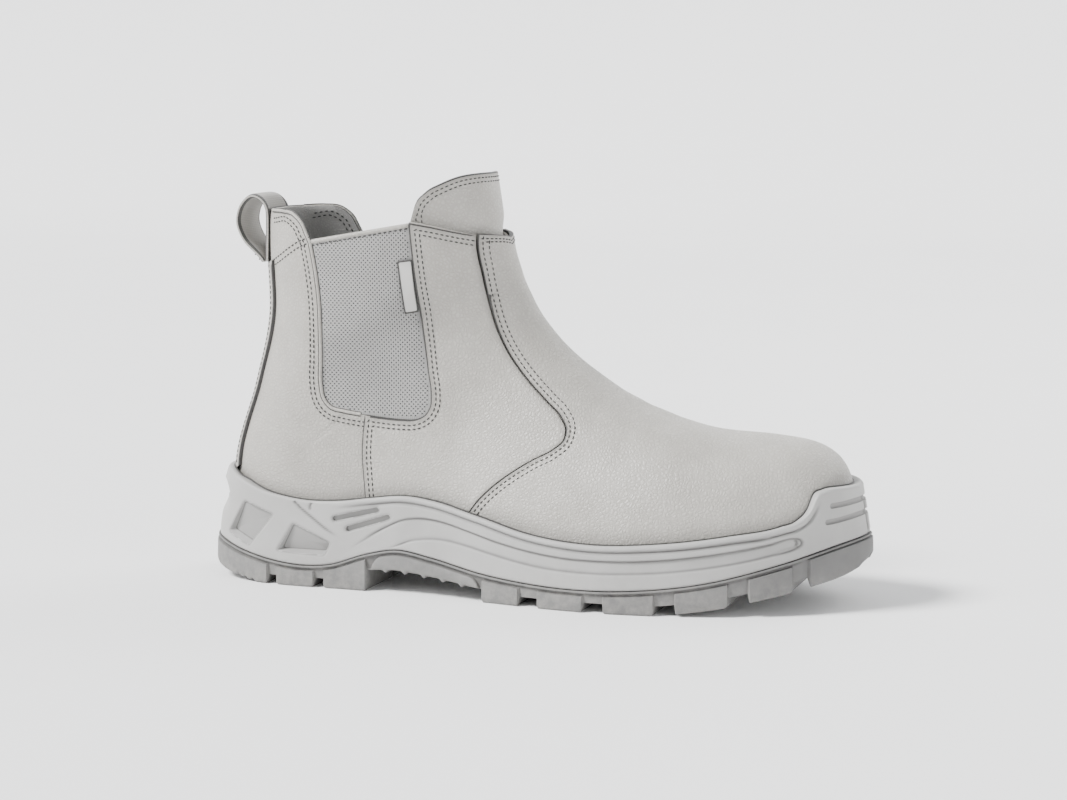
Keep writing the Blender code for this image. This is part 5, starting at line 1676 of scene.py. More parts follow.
@dataclass
class UpperShell:
    """Hollow upper from the feather edge to the collar, notched for the elastic.

    Its own face is the back quarter.
    """

    columns: int = 60
    rows_below: int = 64
    rows_above: int = 44
    crowding: float = 0.35

    def _rows(self) -> tuple[Array, Array]:
        """Section rows and shares of the grid.

        Returns:
            The rows and the shares.
        """
        even = np.linspace(-1.0, 1.0, 2 * self.columns + 1)
        share = even - self.crowding * np.sin(2 * math.pi * even) / (2 * math.pi)
        top = LAST.row_at(COLLAR, share, *COLLAR_ROWS)
        below = LAST.heel_closes * np.linspace(0.0, 1.0, self.rows_below) ** 1.4
        above = np.linspace(LAST.heel_closes, top[0], self.rows_above + 1)[1:]
        edge = np.concatenate([below, above])
        s = edge[:, None] / top[0] * top[None]
        s[:, 0] = s[:, -1] = edge
        return s, np.broadcast_to(share, s.shape)

    def _notch(self, side: Side, edge: bpy.types.Material) -> bpy.types.Object:
        """Prism through one side in the shape of the elastic.

        Args:
            side: Side of the boot.
            edge: Material of the cut.

        Returns:
            The cutter.
        """
        top = [[GORE_LINE[-1, 0], NOTCH_TOP], [TAB_LINE[0, 0], NOTCH_TOP]]
        outline = np.vstack([GORE_LINE, top, TAB_LINE])
        sketch = Sketch()
        rings = []
        for reach in NOTCH_REACH:
            y = np.full(len(outline), side.value * reach)
            rings.append(sketch.add(np.column_stack([outline[:, 0], y, outline[:, 1]])))
        sketch.sheet(rings, closed=True)
        sketch.cap(rings[0])
        sketch.cap(rings[1])
        return sketch.build(f"notch_{side.word}", [edge])

    def build(self, finishes: Finishes) -> None:
        """Builds the shell with its lining and cuts the notches.

        Args:
            finishes: Finishes of the boot.
        """
        s, share = self._rows()
        v = LAST.wrap(s, share)
        safe = np.maximum(s, 0.02)
        base, normal = LAST.point(s, v), LAST.normal(safe, v)
        face = softness(base) * ramp(base[..., 2], 60.0, 80.0) * 0.6
        face[-1] -= 0.45
        face[-2] -= 0.1
        lining = np.full(s.shape, -WALL)
        lining[-1] += 0.45
        sketch = Sketch()
        # Painted shade on the leather just above the midsole's rim.
        outer = sketch.add(base + normal * face[..., None], rim_shade(base))
        inner = sketch.add(base + normal * lining[..., None])
        lip = sketch.add(base[-1] - normal[-1] * WALL / 2 + np.array([0.0, 0.0, 0.3]))
        sketch.sheet(outer)
        sketch.sheet(inner, slot=1, flip=True)
        sketch.sheet([outer[-1], lip, inner[-1]])
        sketch.sheet([inner[0], outer[0]], slot=1)
        back = [np.array([outer[k, 0], inner[k, 0]]) for k in range(len(s))]
        front = [np.array([inner[k, -1], outer[k, -1]]) for k in range(len(s))]
        feather = int(np.argmax(s[:, 0] >= LAST.heel_closes - 1e-9)) + 1
        sketch.sheet(back[:feather], slot=1)
        sketch.sheet(front[:feather], slot=1)
        piece = sketch.build("upper_shell", [finishes.leather, finishes.lining, finishes.edge], weld=0.05)
        carve(piece, [self._notch(side, finishes.edge) for side in Side])
        settle(piece, "pale_leather", "upper")
        top = base[-1] - 0.3 * normal[-1] + np.array([0.0, 0.0, 0.2])
        tab = top[:, 0] < TAB_LINE[0, 0] + 2.5
        line = np.vstack([top[tab & (share[-1] > 0)], top[tab & (share[-1] < 0)][1:]])
        trim = Sketch()
        trim.tube(smooth_line(line, 1.0), 0.52, 8)
        settle(trim.build("collar_line", [finishes.edge]), "pale_leather")

    @staticmethod
    def rolled_edge(side: Side, finishes: Finishes) -> None:
        """Narrow rolled edge of the back quarter along the elastic and round the heel tab, with a thin dark
        cord of painted shade in the crease on each side.

        Args:
            side: Side of the boot.
            finishes: Finishes of the boot.
        """
        stop = int(np.argmax(GORE_LINE[:, 0] > REAR_LINE[0, 0] - 1.0))
        rear = GORE_LINE[:stop]
        line = np.vstack([TAB_TOP, TAB_LINE[TAB_LINE[:, 1] < 169.4], rear])
        line = smooth_line(line[::2], 1.0)
        sketch = Sketch()
        sketch.tube(LAST.on_side(line, side, -0.25), 0.75, 10)
        # Dark cords in the creases beside the roll: painted shade.
        sketch.tube(LAST.on_side(beside(line, 0.85), side, 0.0), 0.26, 6, slot=1)
        sketch.tube(LAST.on_side(beside(line, -0.8), side, GORE_FACE), 0.26, 6, slot=1)
        piece = sketch.build(f"rolled_edge_{side.word}", [finishes.leather, finishes.edge])
        settle(piece, "pale_leather")

    @staticmethod
    def sew(stitching: Stitching, side: Side) -> None:
        """Rows along the elastic, round the heel tab and along the lining's top.

        Args:
            stitching: Gatherer of the stitch rows.
            side: Side of the boot.
        """
        stop = int(np.argmax(GORE_LINE[:, 0] > REAR_LINE[0, 0] + 1.0))
        tab = np.vstack([((36.5, 169.9), (41.0, 170.0)), TAB_LINE[2:]])
        line = smooth_line(np.vstack([tab[:-1:2], GORE_LINE[:stop:3]]), STITCH_STEP)
        for distance in BACK_ROWS:
            row = beside(line, distance)
            row = row[row[:, 0] < REAR_LINE[0, 0] - 0.5]
            stitching.row(LAST.on_side(row, side, 0.1))
            inside = row[(row[:, 1] > 158.5) & (row[:, 0] > 38.0)]
            stitching.row(LAST.on_side(inside, side, -WALL - THREAD_SINK))
        lining = smooth_line(LINING_SEAM, STITCH_STEP)
        for distance in LINING_ROWS:
            stitching.row(LAST.on_side(beside(lining, distance), side, 0.1))


@dataclass
class FrontQuarter:
    """Front quarter from the elastic to the vamp seam, over the upper on one side."""

    side: Side
    seam_gap: float = 0.35

    def _edges(self) -> tuple[Array, Array]:
        """Outline of the panel and the part of it that is sewn down.

        Returns:
            The outline and its sewn part.
        """
        vamp = to_rim(beside(VAMP_LINE, self.seam_gap))
        rear = to_rim(REAR_LINE)
        top = even_line(QUARTER_TOP[::-1], 1.2)
        start = int(np.argmax(GORE_LINE[:, 0] > QUARTER_SEAM[0][0] + 2.0))
        gore = GORE_LINE[start:-1][::-1]
        foot_x = np.linspace(rear[-1, 0], vamp[-1, 0], 40)[1:-1]
        foot = np.column_stack([foot_x, height(RIM, foot_x) - RIM_TUCK])
        front = vamp[::-1]
        front = front[front[:, 1] < top[0, 1] - 0.4]
        sewn = np.vstack([top, gore, rear])
        return np.vstack([front, sewn, foot]), sewn

    def build(self, finishes: Finishes) -> None:
        """Builds the panel.

        Args:
            finishes: Finishes of the boot.
        """
        outline, sewn = self._edges()
        word = self.side.word
        panel = SidePanel(f"front_quarter_{word}", outline, self.side, LEATHER_LIFT, QUARTER_FACE, sewn=sewn)
        settle(panel.build([finishes.leather, finishes.edge]), "pale_leather", f"quarter_{word}")

    def sew(self, stitching: Stitching) -> None:
        """Two rows along the top, the elastic and the rear seam.

        Args:
            stitching: Gatherer of the stitch rows.
        """
        _, sewn = self._edges()
        line = smooth_line(sewn[::3], STITCH_STEP)
        for distance in QUARTER_ROWS:
            row = beside(line, -distance)
            clear = gap_to_line(row, line) > distance - 0.1
            row = row[clear & (row[:, 1] > height(RIM, row[:, 0]) + 0.5)]
            stitching.row(LAST.on_side(row, self.side, QUARTER_FACE - THREAD_SINK))


@dataclass
class Vamp:
    """Vamp over the toe and instep, one piece from the seam on one side to the seam on the other."""

    rows: int = 46
    toe_share: float = 0.72
    ridge_power: float = 1.25
    corner_gap: float = 0.1
    edge_rings: tuple[float, ...] = (0.0, 0.2, 0.5, 0.9, 1.3, 1.7, 2.2, 2.9, 3.7, 4.6, 6.2)

    def _grid(self, side: Side) -> tuple[Array, Array, Array, Array]:
        """Section rows, turns and the distances to the seam and to the collar, from the ridge to the seam.

        Args:
            side: Side of the boot.

        Returns:
            The rows, the turns and both distances.
        """
        length = run_lengths(np.asarray(VAMP_SEAM))[-1]
        near = np.array(self.edge_rings)
        stations = np.concatenate([near, np.linspace(near[-1], length, 118)[1:]])
        seam = through(run_lengths(np.asarray(VAMP_SEAM)), np.asarray(VAMP_SEAM), stations)
        s_seam, v_seam = LAST.find(seam[:, 0], seam[:, 1], Side.INNER)
        share = v_seam / LAST.wrap(s_seam, np.ones(s_seam.shape))
        along = stations / length
        collar = float(LAST.row_at(COLLAR, np.zeros(1), *COLLAR_ROWS)[0])
        ridge = collar * (1 - np.clip(along / self.toe_share, 0.0, 1.0)) ** self.ridge_power
        toe = share[-1] * np.clip((along - self.toe_share) / (1 - self.toe_share), 0.0, 1.0)
        coarse = np.linspace(0.0, 1.0, 30)[:, None]
        s = ridge + (s_seam - ridge) * coarse
        turn = side.value * LAST.wrap(s, toe + (share - toe) * coarse)
        reach = np.sum(np.linalg.norm(np.diff(LAST.point(s, turn), axis=0), axis=-1), axis=0)
        inner = np.linspace(0.0, 1.0, self.rows)[:, None] * (1 - near[-1] / reach)
        steps = np.vstack([inner, 1 - near[-2::-1, None] / reach])
        s = ridge + (s_seam - ridge) * steps
        turn = side.value * LAST.wrap(s, toe + (share - toe) * steps)
        to_seam = (1 - steps) * reach
        return s, turn, to_seam, np.broadcast_to(stations, s.shape)

    def build(self, finishes: Finishes) -> None:
        """Builds the vamp with rounded edges at its seams and top.

        Args:
            finishes: Finishes of the boot.
        """
        sketch = Sketch()
        for side in Side:
            s, turn, to_seam, to_top = self._grid(side)
            base, normal = LAST.point(s, turn), LAST.normal(np.maximum(s, 0.02), turn)
            edge = np.minimum(to_seam, to_top)
            face = VAMP_FACE - rounded(edge, 0.5)
            face = face - pucker(to_seam, VAMP_ROWS) - pucker(to_top, VAMP_TOP_ROWS)
            face = face + (softness(base) - self._flex(base)) * ramp(edge, 1.0, 12.0)
            # Painted shade along the vamp's edges and just above the midsole's rim.
            shade_paint = np.maximum(edge_shade(edge), rim_shade(base))
            top = sketch.add(base + normal * face[..., None], shade_paint)
            back = sketch.add(base + normal * LEATHER_LIFT)
            sketch.sheet(top[:-2, 2:])
            sketch.sheet(top[:-2, :3], slot=1)
            sketch.sheet(top[-3:], slot=1)
            sketch.sheet(back, slot=1, flip=True)
            sketch.sheet([top[-1], back[-1]], slot=1)
            sketch.sheet([top[:, 0], back[:, 0]], slot=1)
            sketch.sheet([top[:, -1], back[:, -1]], slot=1)
        piece = sketch.build("vamp_leather", [finishes.leather, finishes.edge], weld=0.02)
        settle(piece, "pale_leather", "vamp")

    @staticmethod
    def _flex(points: Array) -> Array:
        """Depth of the faint creases across the flex line behind the toes.

        Args:
            points: Places on the surface.

        Returns:
            The depth at each place.
        """
        x, y = points[..., 0], points[..., 1]
        depth = np.zeros(x.shape)
        for place, lean, size in FLEX_CREASES:
            depth += size * bell(x - place - lean * y - 2.0 * np.sin(y / 14.0), 3.2)
        return depth * ramp(points[..., 2], 40.0, 62.0)

    def sew(self, stitching: Stitching) -> None:
        """Two rows along each seam and two along the top.

        Args:
            stitching: Gatherer of the stitch rows.
        """
        line = VAMP_LINE
        for side in Side:
            for distance, top_distance in zip(VAMP_ROWS, VAMP_TOP_ROWS):
                row = beside(line, -distance)
                row = row[row[:, 1] > height(RIM, row[:, 0]) + 0.5]
                row = row[row[:, 1] < VAMP_LINE[0, 1] - top_distance + 0.4]
                stitching.row(LAST.on_side(smooth_line(row[::2], STITCH_STEP), side, VAMP_FACE - THREAD_SINK))
        for distance, seam_distance in zip(VAMP_TOP_ROWS, VAMP_ROWS):
            halves = []
            for side in Side:
                s, turn, to_seam, to_top = self._grid(side)
                columns = [np.interp(distance, to_top[0], s[k]) for k in range(len(s))]
                turns = [np.interp(distance, to_top[0], turn[k]) for k in range(len(s))]
                line = LAST.offset(np.array(columns), np.array(turns), VAMP_FACE - THREAD_SINK)
                line = line[to_seam[:, 0] > seam_distance + self.corner_gap]
                halves.append(line if side is Side.INNER else line[::-1])
            stitching.row(np.vstack([halves[0], halves[1][1:]]))


@dataclass
class SideElastic:
    """Elastic side panel in the upper's notch, with its dots and its top binding."""

    side: Side
    dot_pitch: float = 2.05
    dot_radius: float = 0.38
    margin: float = 1.3

    def build(self, finishes: Finishes, dots: bpy.types.NodeTree) -> None:
        """Builds the panel, its binding and the field of dots.

        Args:
            finishes: Finishes of the boot.
            dots: Node tree of the dots.
        """
        word = self.side.word
        top = even_line((GORE_LINE[-1], GORE_LINE[0]), 1.2)
        outline = np.vstack([GORE_LINE, top[1:-1]])
        panel = SidePanel(f"elastic_{word}", outline, self.side, -1.95, GORE_FACE, edge_radius=0.25,
                          spacing=2.2, soft=False)
        settle(panel.build([finishes.elastic, finishes.elastic]), "grey_elastic", f"gore_{word}")
        self._binding(finishes, word)
        self._dots(outline, finishes, dots, word)

    def _binding(self, finishes: Finishes, word: str) -> None:
        """Folded binding along the top edge.

        Args:
            finishes: Finishes of the boot.
            word: Word for the side.
        """
        line = even_line((GORE_LINE[0] + (0.6, -0.2), GORE_LINE[-1] + (-0.4, -0.2)), 1.2)
        sketch = Sketch()
        sketch.tube(LAST.on_side(line, self.side, -1.15), 1.15, 10)
        settle(sketch.build(f"elastic_binding_{word}", [finishes.leather]), "grey_elastic")

    def sew(self, stitching: Stitching) -> None:
        """One row under the binding."""
        line = even_line((GORE_LINE[0] + (1.4, -1.6), GORE_LINE[-1] + (-1.4, -1.6)), STITCH_STEP)
        stitching.row(LAST.on_side(line, self.side, GORE_FACE))

    def _dots(self, outline: Array, finishes: Finishes, dots: bpy.types.NodeTree, word: str) -> None:
        """Staggered dots over the panel, each with the direction of the surface.

        Args:
            outline: Corners of the outline.
            finishes: Finishes of the boot.
            dots: Node tree of the dots.
            word: Word for the side.
        """
        low, high = outline.min(axis=0), outline.max(axis=0)
        places = []
        step = self.dot_pitch / 2
        for k, z in enumerate(np.arange(low[1], high[1], step)):
            shift = self.dot_pitch / 2 * (k % 2)
            x = np.arange(low[0] + shift, high[0], self.dot_pitch)
            places.append(np.column_stack([x, np.full(len(x), z)]))
        spots = np.vstack(places)
        spots = spots[within(spots, outline)]
        spots = spots[gap_to_line(spots, closed_line(outline)) > self.margin]
        s, v = LAST.find(spots[:, 0], spots[:, 1], self.side)
        host = bpy.data.meshes.new(f"dots_{word}")
        host.from_pydata(in_model(LAST.offset(s, v, GORE_FACE)).tolist(), [], [])
        outward = host.attributes.new("outward", "FLOAT_VECTOR", "POINT")
        outward.data.foreach_set("vector", LAST.normal(s, v).ravel())
        values = {"Radius": self.dot_radius * MM, "Depth": 0.09 * MM, "Print": finishes.dots}
        settle(grown(f"elastic_dots_{word}", host, dots, values), "grey_elastic")


@dataclass
class FrontFlap:
    """Peak of leather that stands inside the front of the collar."""

    thickness: float = 1.8
    face: float = -2.75
    foot_row: float = 9.9
    lean: float = 2.1
    leg: float = 0.4
    clear_ring: int = 14
    columns: int = 91
    edge_rings: tuple[float, ...] = (6.2, 4.9, 3.9, 2.9, 2.0, 1.2, 0.5, 0.2, 0.0)

    def _grid(self) -> tuple[Array, Array, Array]:
        """Section rows, turns and distances to the top and side edges.

        Returns:
            The rows, the turns and the distances.
        """
        corner = float(LAST.find(*np.array(FLAP_TOP[1]), Side.INNER)[1])
        turns = np.linspace(-corner, corner, self.columns)

        def above(s: Array) -> Array:
            """Height of each point above the flap's top."""
            p = LAST.point(s, turns)
            return p[..., 2] - height(FLAP_TOP, p[..., 0])

        top = solve(above, np.full(turns.shape, self.foot_row + 0.5), np.full(turns.shape, LAST.end))
        foot = LAST.point(np.full(top.shape, self.foot_row), turns)
        reach = np.linalg.norm(LAST.point(top, turns) - foot, axis=-1)
        near = np.minimum(np.array(self.edge_rings)[:, None], 0.8 * reach)
        lower = np.linspace(0.0, 1.0, 22)[:-1, None] * (1 - near[0] / reach)
        steps = np.vstack([lower, 1 - near / reach])
        s = self.foot_row + (top - self.foot_row) * steps
        turns = np.broadcast_to(turns, s.shape)
        points = LAST.point(s, turns)
        edge = np.vstack([points[:, 0], points[-1, 1:-1], points[::-1, -1]])
        return s, turns, gap_to_line(points.reshape(-1, 3), edge).reshape(s.shape)

    def _lean(self, points: Array) -> Array:
        """Distance that the flap leans forward above the collar."""
        return self.lean * ramp(points[..., 2] - height(COLLAR, points[..., 0]), 0.5, 11.0)

    def build(self, finishes: Finishes) -> None:
        """Builds the flap with leather outside and lining inside.

        Args:
            finishes: Finishes of the boot.
        """
        s, turns, distance = self._grid()
        base, normal = LAST.point(s, turns), LAST.normal(s, turns)
        loss = rounded(distance, 0.7)
        place = self.face + self._lean(base)
        face = place - loss - pucker(distance, FLAP_ROWS)
        face = face + 0.5 * softness(base) * ramp(distance, 1.0, 8.0)
        sketch = Sketch()
        # Painted shade along the flap's edges.
        outer = sketch.add(base + normal * face[..., None], edge_shade(distance))
        inner = sketch.add(base + normal * (place - self.thickness + loss)[..., None])
        sketch.sheet(outer[:-2])
        sketch.sheet(outer[-3:], slot=2)
        sketch.sheet(inner, slot=1, flip=True)
        sketch.sheet([outer[-1], inner[-1]], slot=2)
        sketch.sheet([inner[0], outer[0]], slot=2)
        sketch.sheet([outer[:, 0], inner[:, 0]], slot=2)
        sketch.sheet([inner[:, -1], outer[:, -1]], slot=2)
        piece = sketch.build("front_peak", [finishes.leather, finishes.lining, finishes.edge])
        settle(piece, "pale_leather", "front_flap")

    def sew(self, stitching: Stitching) -> None:
        """Two rows inside the top edge, down to the collar at both ends.

        Args:
            stitching: Gatherer of the stitch rows.
        """
        s, turns, distance = self._grid()
        for row in FLAP_ROWS:
            columns = np.flatnonzero(distance[self.clear_ring] > row)
            at = np.array([np.interp(-row, -distance[:, k], s[:, k]) for k in columns])
            legs = np.linspace(self.leg, 0.05, 8)
            at = np.concatenate([at[0] - legs, at, at[-1] - legs[::-1]])
            ends = np.ones(len(legs))
            first, last = turns[0, columns[0]], turns[0, columns[-1]]
            turn = np.concatenate([first * ends, turns[0, columns], last * ends])
            line = LAST.offset(at, turn, self.face - THREAD_SINK + self._lean(LAST.point(at, turn)))
            stitching.row(smooth_line(line, STITCH_STEP))


@dataclass
class BackStrip:
    """Strip over the back seam, from the midsole's rim to the pull loop."""

    half_width: float = 19.0
    row_inset: float = 3.0
    face: float = 1.65
    top_z: float = 145.6
    shares: tuple[float, ...] = (
        1.0, 0.989, 0.974, 0.945, 0.9, 0.87, 0.842, 0.81, 0.77, 0.65, 0.5, 0.33, 0.16,
    )

    def _grid(self, shares: Array) -> tuple[Array, Array]:
        """Section rows and turns of the strip's grid.

        Args:
            shares: Shares of the half width, negative on the outer side.

        Returns:
            The rows and the turns.
        """
        low = float(height(RIM, SECTIONS["heel"][SECTION_COLUMNS.index("keel_x")])) - RIM_TUCK
        near_top = self.top_z - np.array([0.5, 0.15, 0.0])
        levels = np.concatenate([np.linspace(low, self.top_z - 1.0, 60), near_top])
        keel = LAST.profile["keel_z"][LAST.heel_rows]
        s = np.interp(levels, keel, LAST.profile_rows[LAST.heel_rows])[:, None]
        c = LAST.section(s)
        reach = np.clip(np.abs(shares) * self.half_width / c["medial"], 0.0, 1.0)
        angle = np.arcsin(reach ** (c["keel_power"] / 2))
        turns = np.where(shares < 0, -(math.pi - angle), math.pi - angle)
        return np.broadcast_to(s, turns.shape), turns

    def build(self, finishes: Finishes) -> None:
        """Builds the strip.

        Args:
            finishes: Finishes of the boot.
        """
        half = np.array(self.shares)
        shares = np.concatenate([-half, [0.0], half[::-1]])[None]
        s, turns = self._grid(shares)
        base, normal = LAST.point(s, turns), LAST.normal(s, turns)
        distance = (1 - np.abs(shares)) * self.half_width * np.ones(s.shape)
        distance = np.minimum(distance, self.top_z + 0.02 - base[..., 2])
        face = self.face - rounded(distance, 0.45) - pucker(distance, (self.row_inset,))
        sketch = Sketch()
        # Painted shade along the strip's edges and just above the midsole's rim.
        top = sketch.add(base + normal * face[..., None], np.maximum(edge_shade(distance), rim_shade(base)))
        back = sketch.add(base + normal * LEATHER_LIFT)
        sketch.sheet(top[:, 2:-2])
        sketch.sheet(top[:, :3], slot=1)
        sketch.sheet(top[:, -3:], slot=1)
        sketch.sheet(back, slot=1, flip=True)
        for edge in (0, -1):
            sketch.sheet([top[edge], back[edge]], slot=1)
            sketch.sheet([top[:, edge], back[:, edge]], slot=1)
        piece = sketch.build("back_seam_strip", [finishes.leather, finishes.edge])
        settle(piece, "pale_leather", "back_strip")

    def sew(self, stitching: Stitching) -> None:
        """One row along each edge.

        Args:
            stitching: Gatherer of the stitch rows.
        """
        reach = 1 - self.row_inset / self.half_width
        for share in (-reach, reach):
            s, turns = self._grid(np.array([[share]]))
            line = LAST.offset(s[:, 0], turns[:, 0], self.face - THREAD_SINK)
            stitching.row(line[line[:, 2] > 51.5])


@dataclass
class PullLoop:
    """Tape loop at the back of the collar."""

    width: float = 25.0
    thickness: float = 2.3
    bow_radius: float = 30.0
    edge_line: tuple[float, float] = (0.30, 1.02)
    sewn_rows: tuple[float, ...] = (0.30, 0.75)
    sewn_margin: float = 1.6
    sewn_end: float = 1.6

    def build(self, finishes: Finishes) -> None:
        """Builds the tape with rounded edges, mapped along and across for its weave.

        Args:
            finishes: Finishes of the boot.
        """
        path = np.asarray(LOOP_PATH)
        knots = np.arange(len(path), dtype=float)
        along = np.linspace(0.0, len(path) - 1.0, 150)
        route = through(knots, path, along)
        lies = ramp(along, 5.5, 7.2) + (1 - ramp(along, 0.0, self.sewn_end))
        run = run_lengths(route)
        tangent = np.gradient(route, axis=0)
        tangent /= np.linalg.norm(tangent, axis=1, keepdims=True)
        normal = np.column_stack([tangent[:, 1], -tangent[:, 0]])
        angle = np.linspace(0.0, 2 * math.pi, 44, endpoint=False)
        across = np.sign(np.cos(angle)) * np.abs(np.cos(angle)) ** 0.35 * self.width / 2
        rise = np.sign(np.sin(angle)) * np.abs(np.sin(angle)) ** 0.8 * self.thickness / 2
        sketch = Sketch()
        rings = []
        for k in range(len(route)):
            bow = lies[k] * across**2 / (2 * self.bow_radius)
            x = route[k, 0] + normal[k, 0] * rise + bow
            z = route[k, 1] + normal[k, 1] * rise
            ring = sketch.add(np.column_stack([x, across, z]))
            rings.append(ring)
            for number, y in zip(ring, across):
                sketch.uv[int(number)] = (y * MM, run[k] * MM)
        middle = angle + angle[1] / 2
        from_edge = np.abs((middle + math.pi / 2) % math.pi - math.pi / 2)
        lines = (from_edge > self.edge_line[0]) & (from_edge < self.edge_line[1])
        for first in range(len(angle)):
            after = (first + 1) % len(angle)
            sketch.sheet([np.array([ring[first], ring[after]]) for ring in rings], slot=int(lines[first]))
        sketch.cap(rings[0])
        sketch.cap(rings[-1])
        piece = sketch.build("pull_tape", [finishes.tape, finishes.selvedge])
        settle(piece, "pale_webbing", "pull_loop")

    def sew(self, stitching: Stitching) -> None:
        """Rows across the tape's lower end, where it is sewn to the back.

        Args:
            stitching: Gatherer of the stitch rows.
        """
        path = np.asarray(LOOP_PATH)
        knots = np.arange(len(path), dtype=float)
        reach = self.width / 2 - self.sewn_margin
        y = np.linspace(-reach, reach, 28)
        for place in self.sewn_rows:
            here, ahead = through(knots, path, np.array([place, place + 0.05]))
            run = (ahead - here) / np.linalg.norm(ahead - here)
            lies = 1 - float(ramp(place, 0.0, self.sewn_end))
            x = here[0] - run[1] * self.thickness / 2 + lies * y**2 / (2 * self.bow_radius)
            stitching.row(np.column_stack([x, y, np.full(len(y), here[1] + run[0] * self.thickness / 2)]))


def build_label(finishes: Finishes) -> None:
    """Blank woven tab, caught in the seam at the front edge of the outer elastic.

    Args:
        finishes: Finishes of the boot.
    """
    outline = even_line(closed_line(np.array(LABEL)), 0.8)[:-1]
    panel = SidePanel("blank_label", outline, Side.OUTER, -0.25, 0.6, edge_radius=0.25, spacing=1.2,
                      soft=False, rings=(0.1, 0.3, 0.7))
    settle(panel.build([finishes.label, finishes.edge]), "pale_webbing", "label_tab")
    sketch = Sketch()
    sketch.tube(LAST.on_side(closed_line(outline), Side.OUTER, 0.45), 0.42, 6)
    settle(sketch.build("label_border", [finishes.edge]), "pale_webbing")


def dress_upper(finishes: Finishes) -> None:
    """Builds and sews every piece above the sole.

    Args:
        finishes: Finishes of the boot.
    """
    UpperShell().build(finishes)
    Vamp().build(finishes)
    FrontFlap().build(finishes)
    BackStrip().build(finishes)
    PullLoop().build(finishes)
    build_label(finishes)
    dots = dot_tree()
    for side in Side:
        FrontQuarter(side).build(finishes)
        SideElastic(side).build(finishes, dots)
        UpperShell.rolled_edge(side, finishes)
    stitching = Stitching(finishes.thread)
    Vamp().sew(stitching)
    stitching.sew("vamp_stitches")
    for side in Side:
        FrontQuarter(side).sew(stitching)
        SideElastic(side).sew(stitching)
        UpperShell.sew(stitching, side)
    stitching.sew("quarter_stitches")
    FrontFlap().sew(stitching)
    BackStrip().sew(stitching)
    PullLoop().sew(stitching)
    stitching.sew("flap_and_strip_stitches")


# Sole


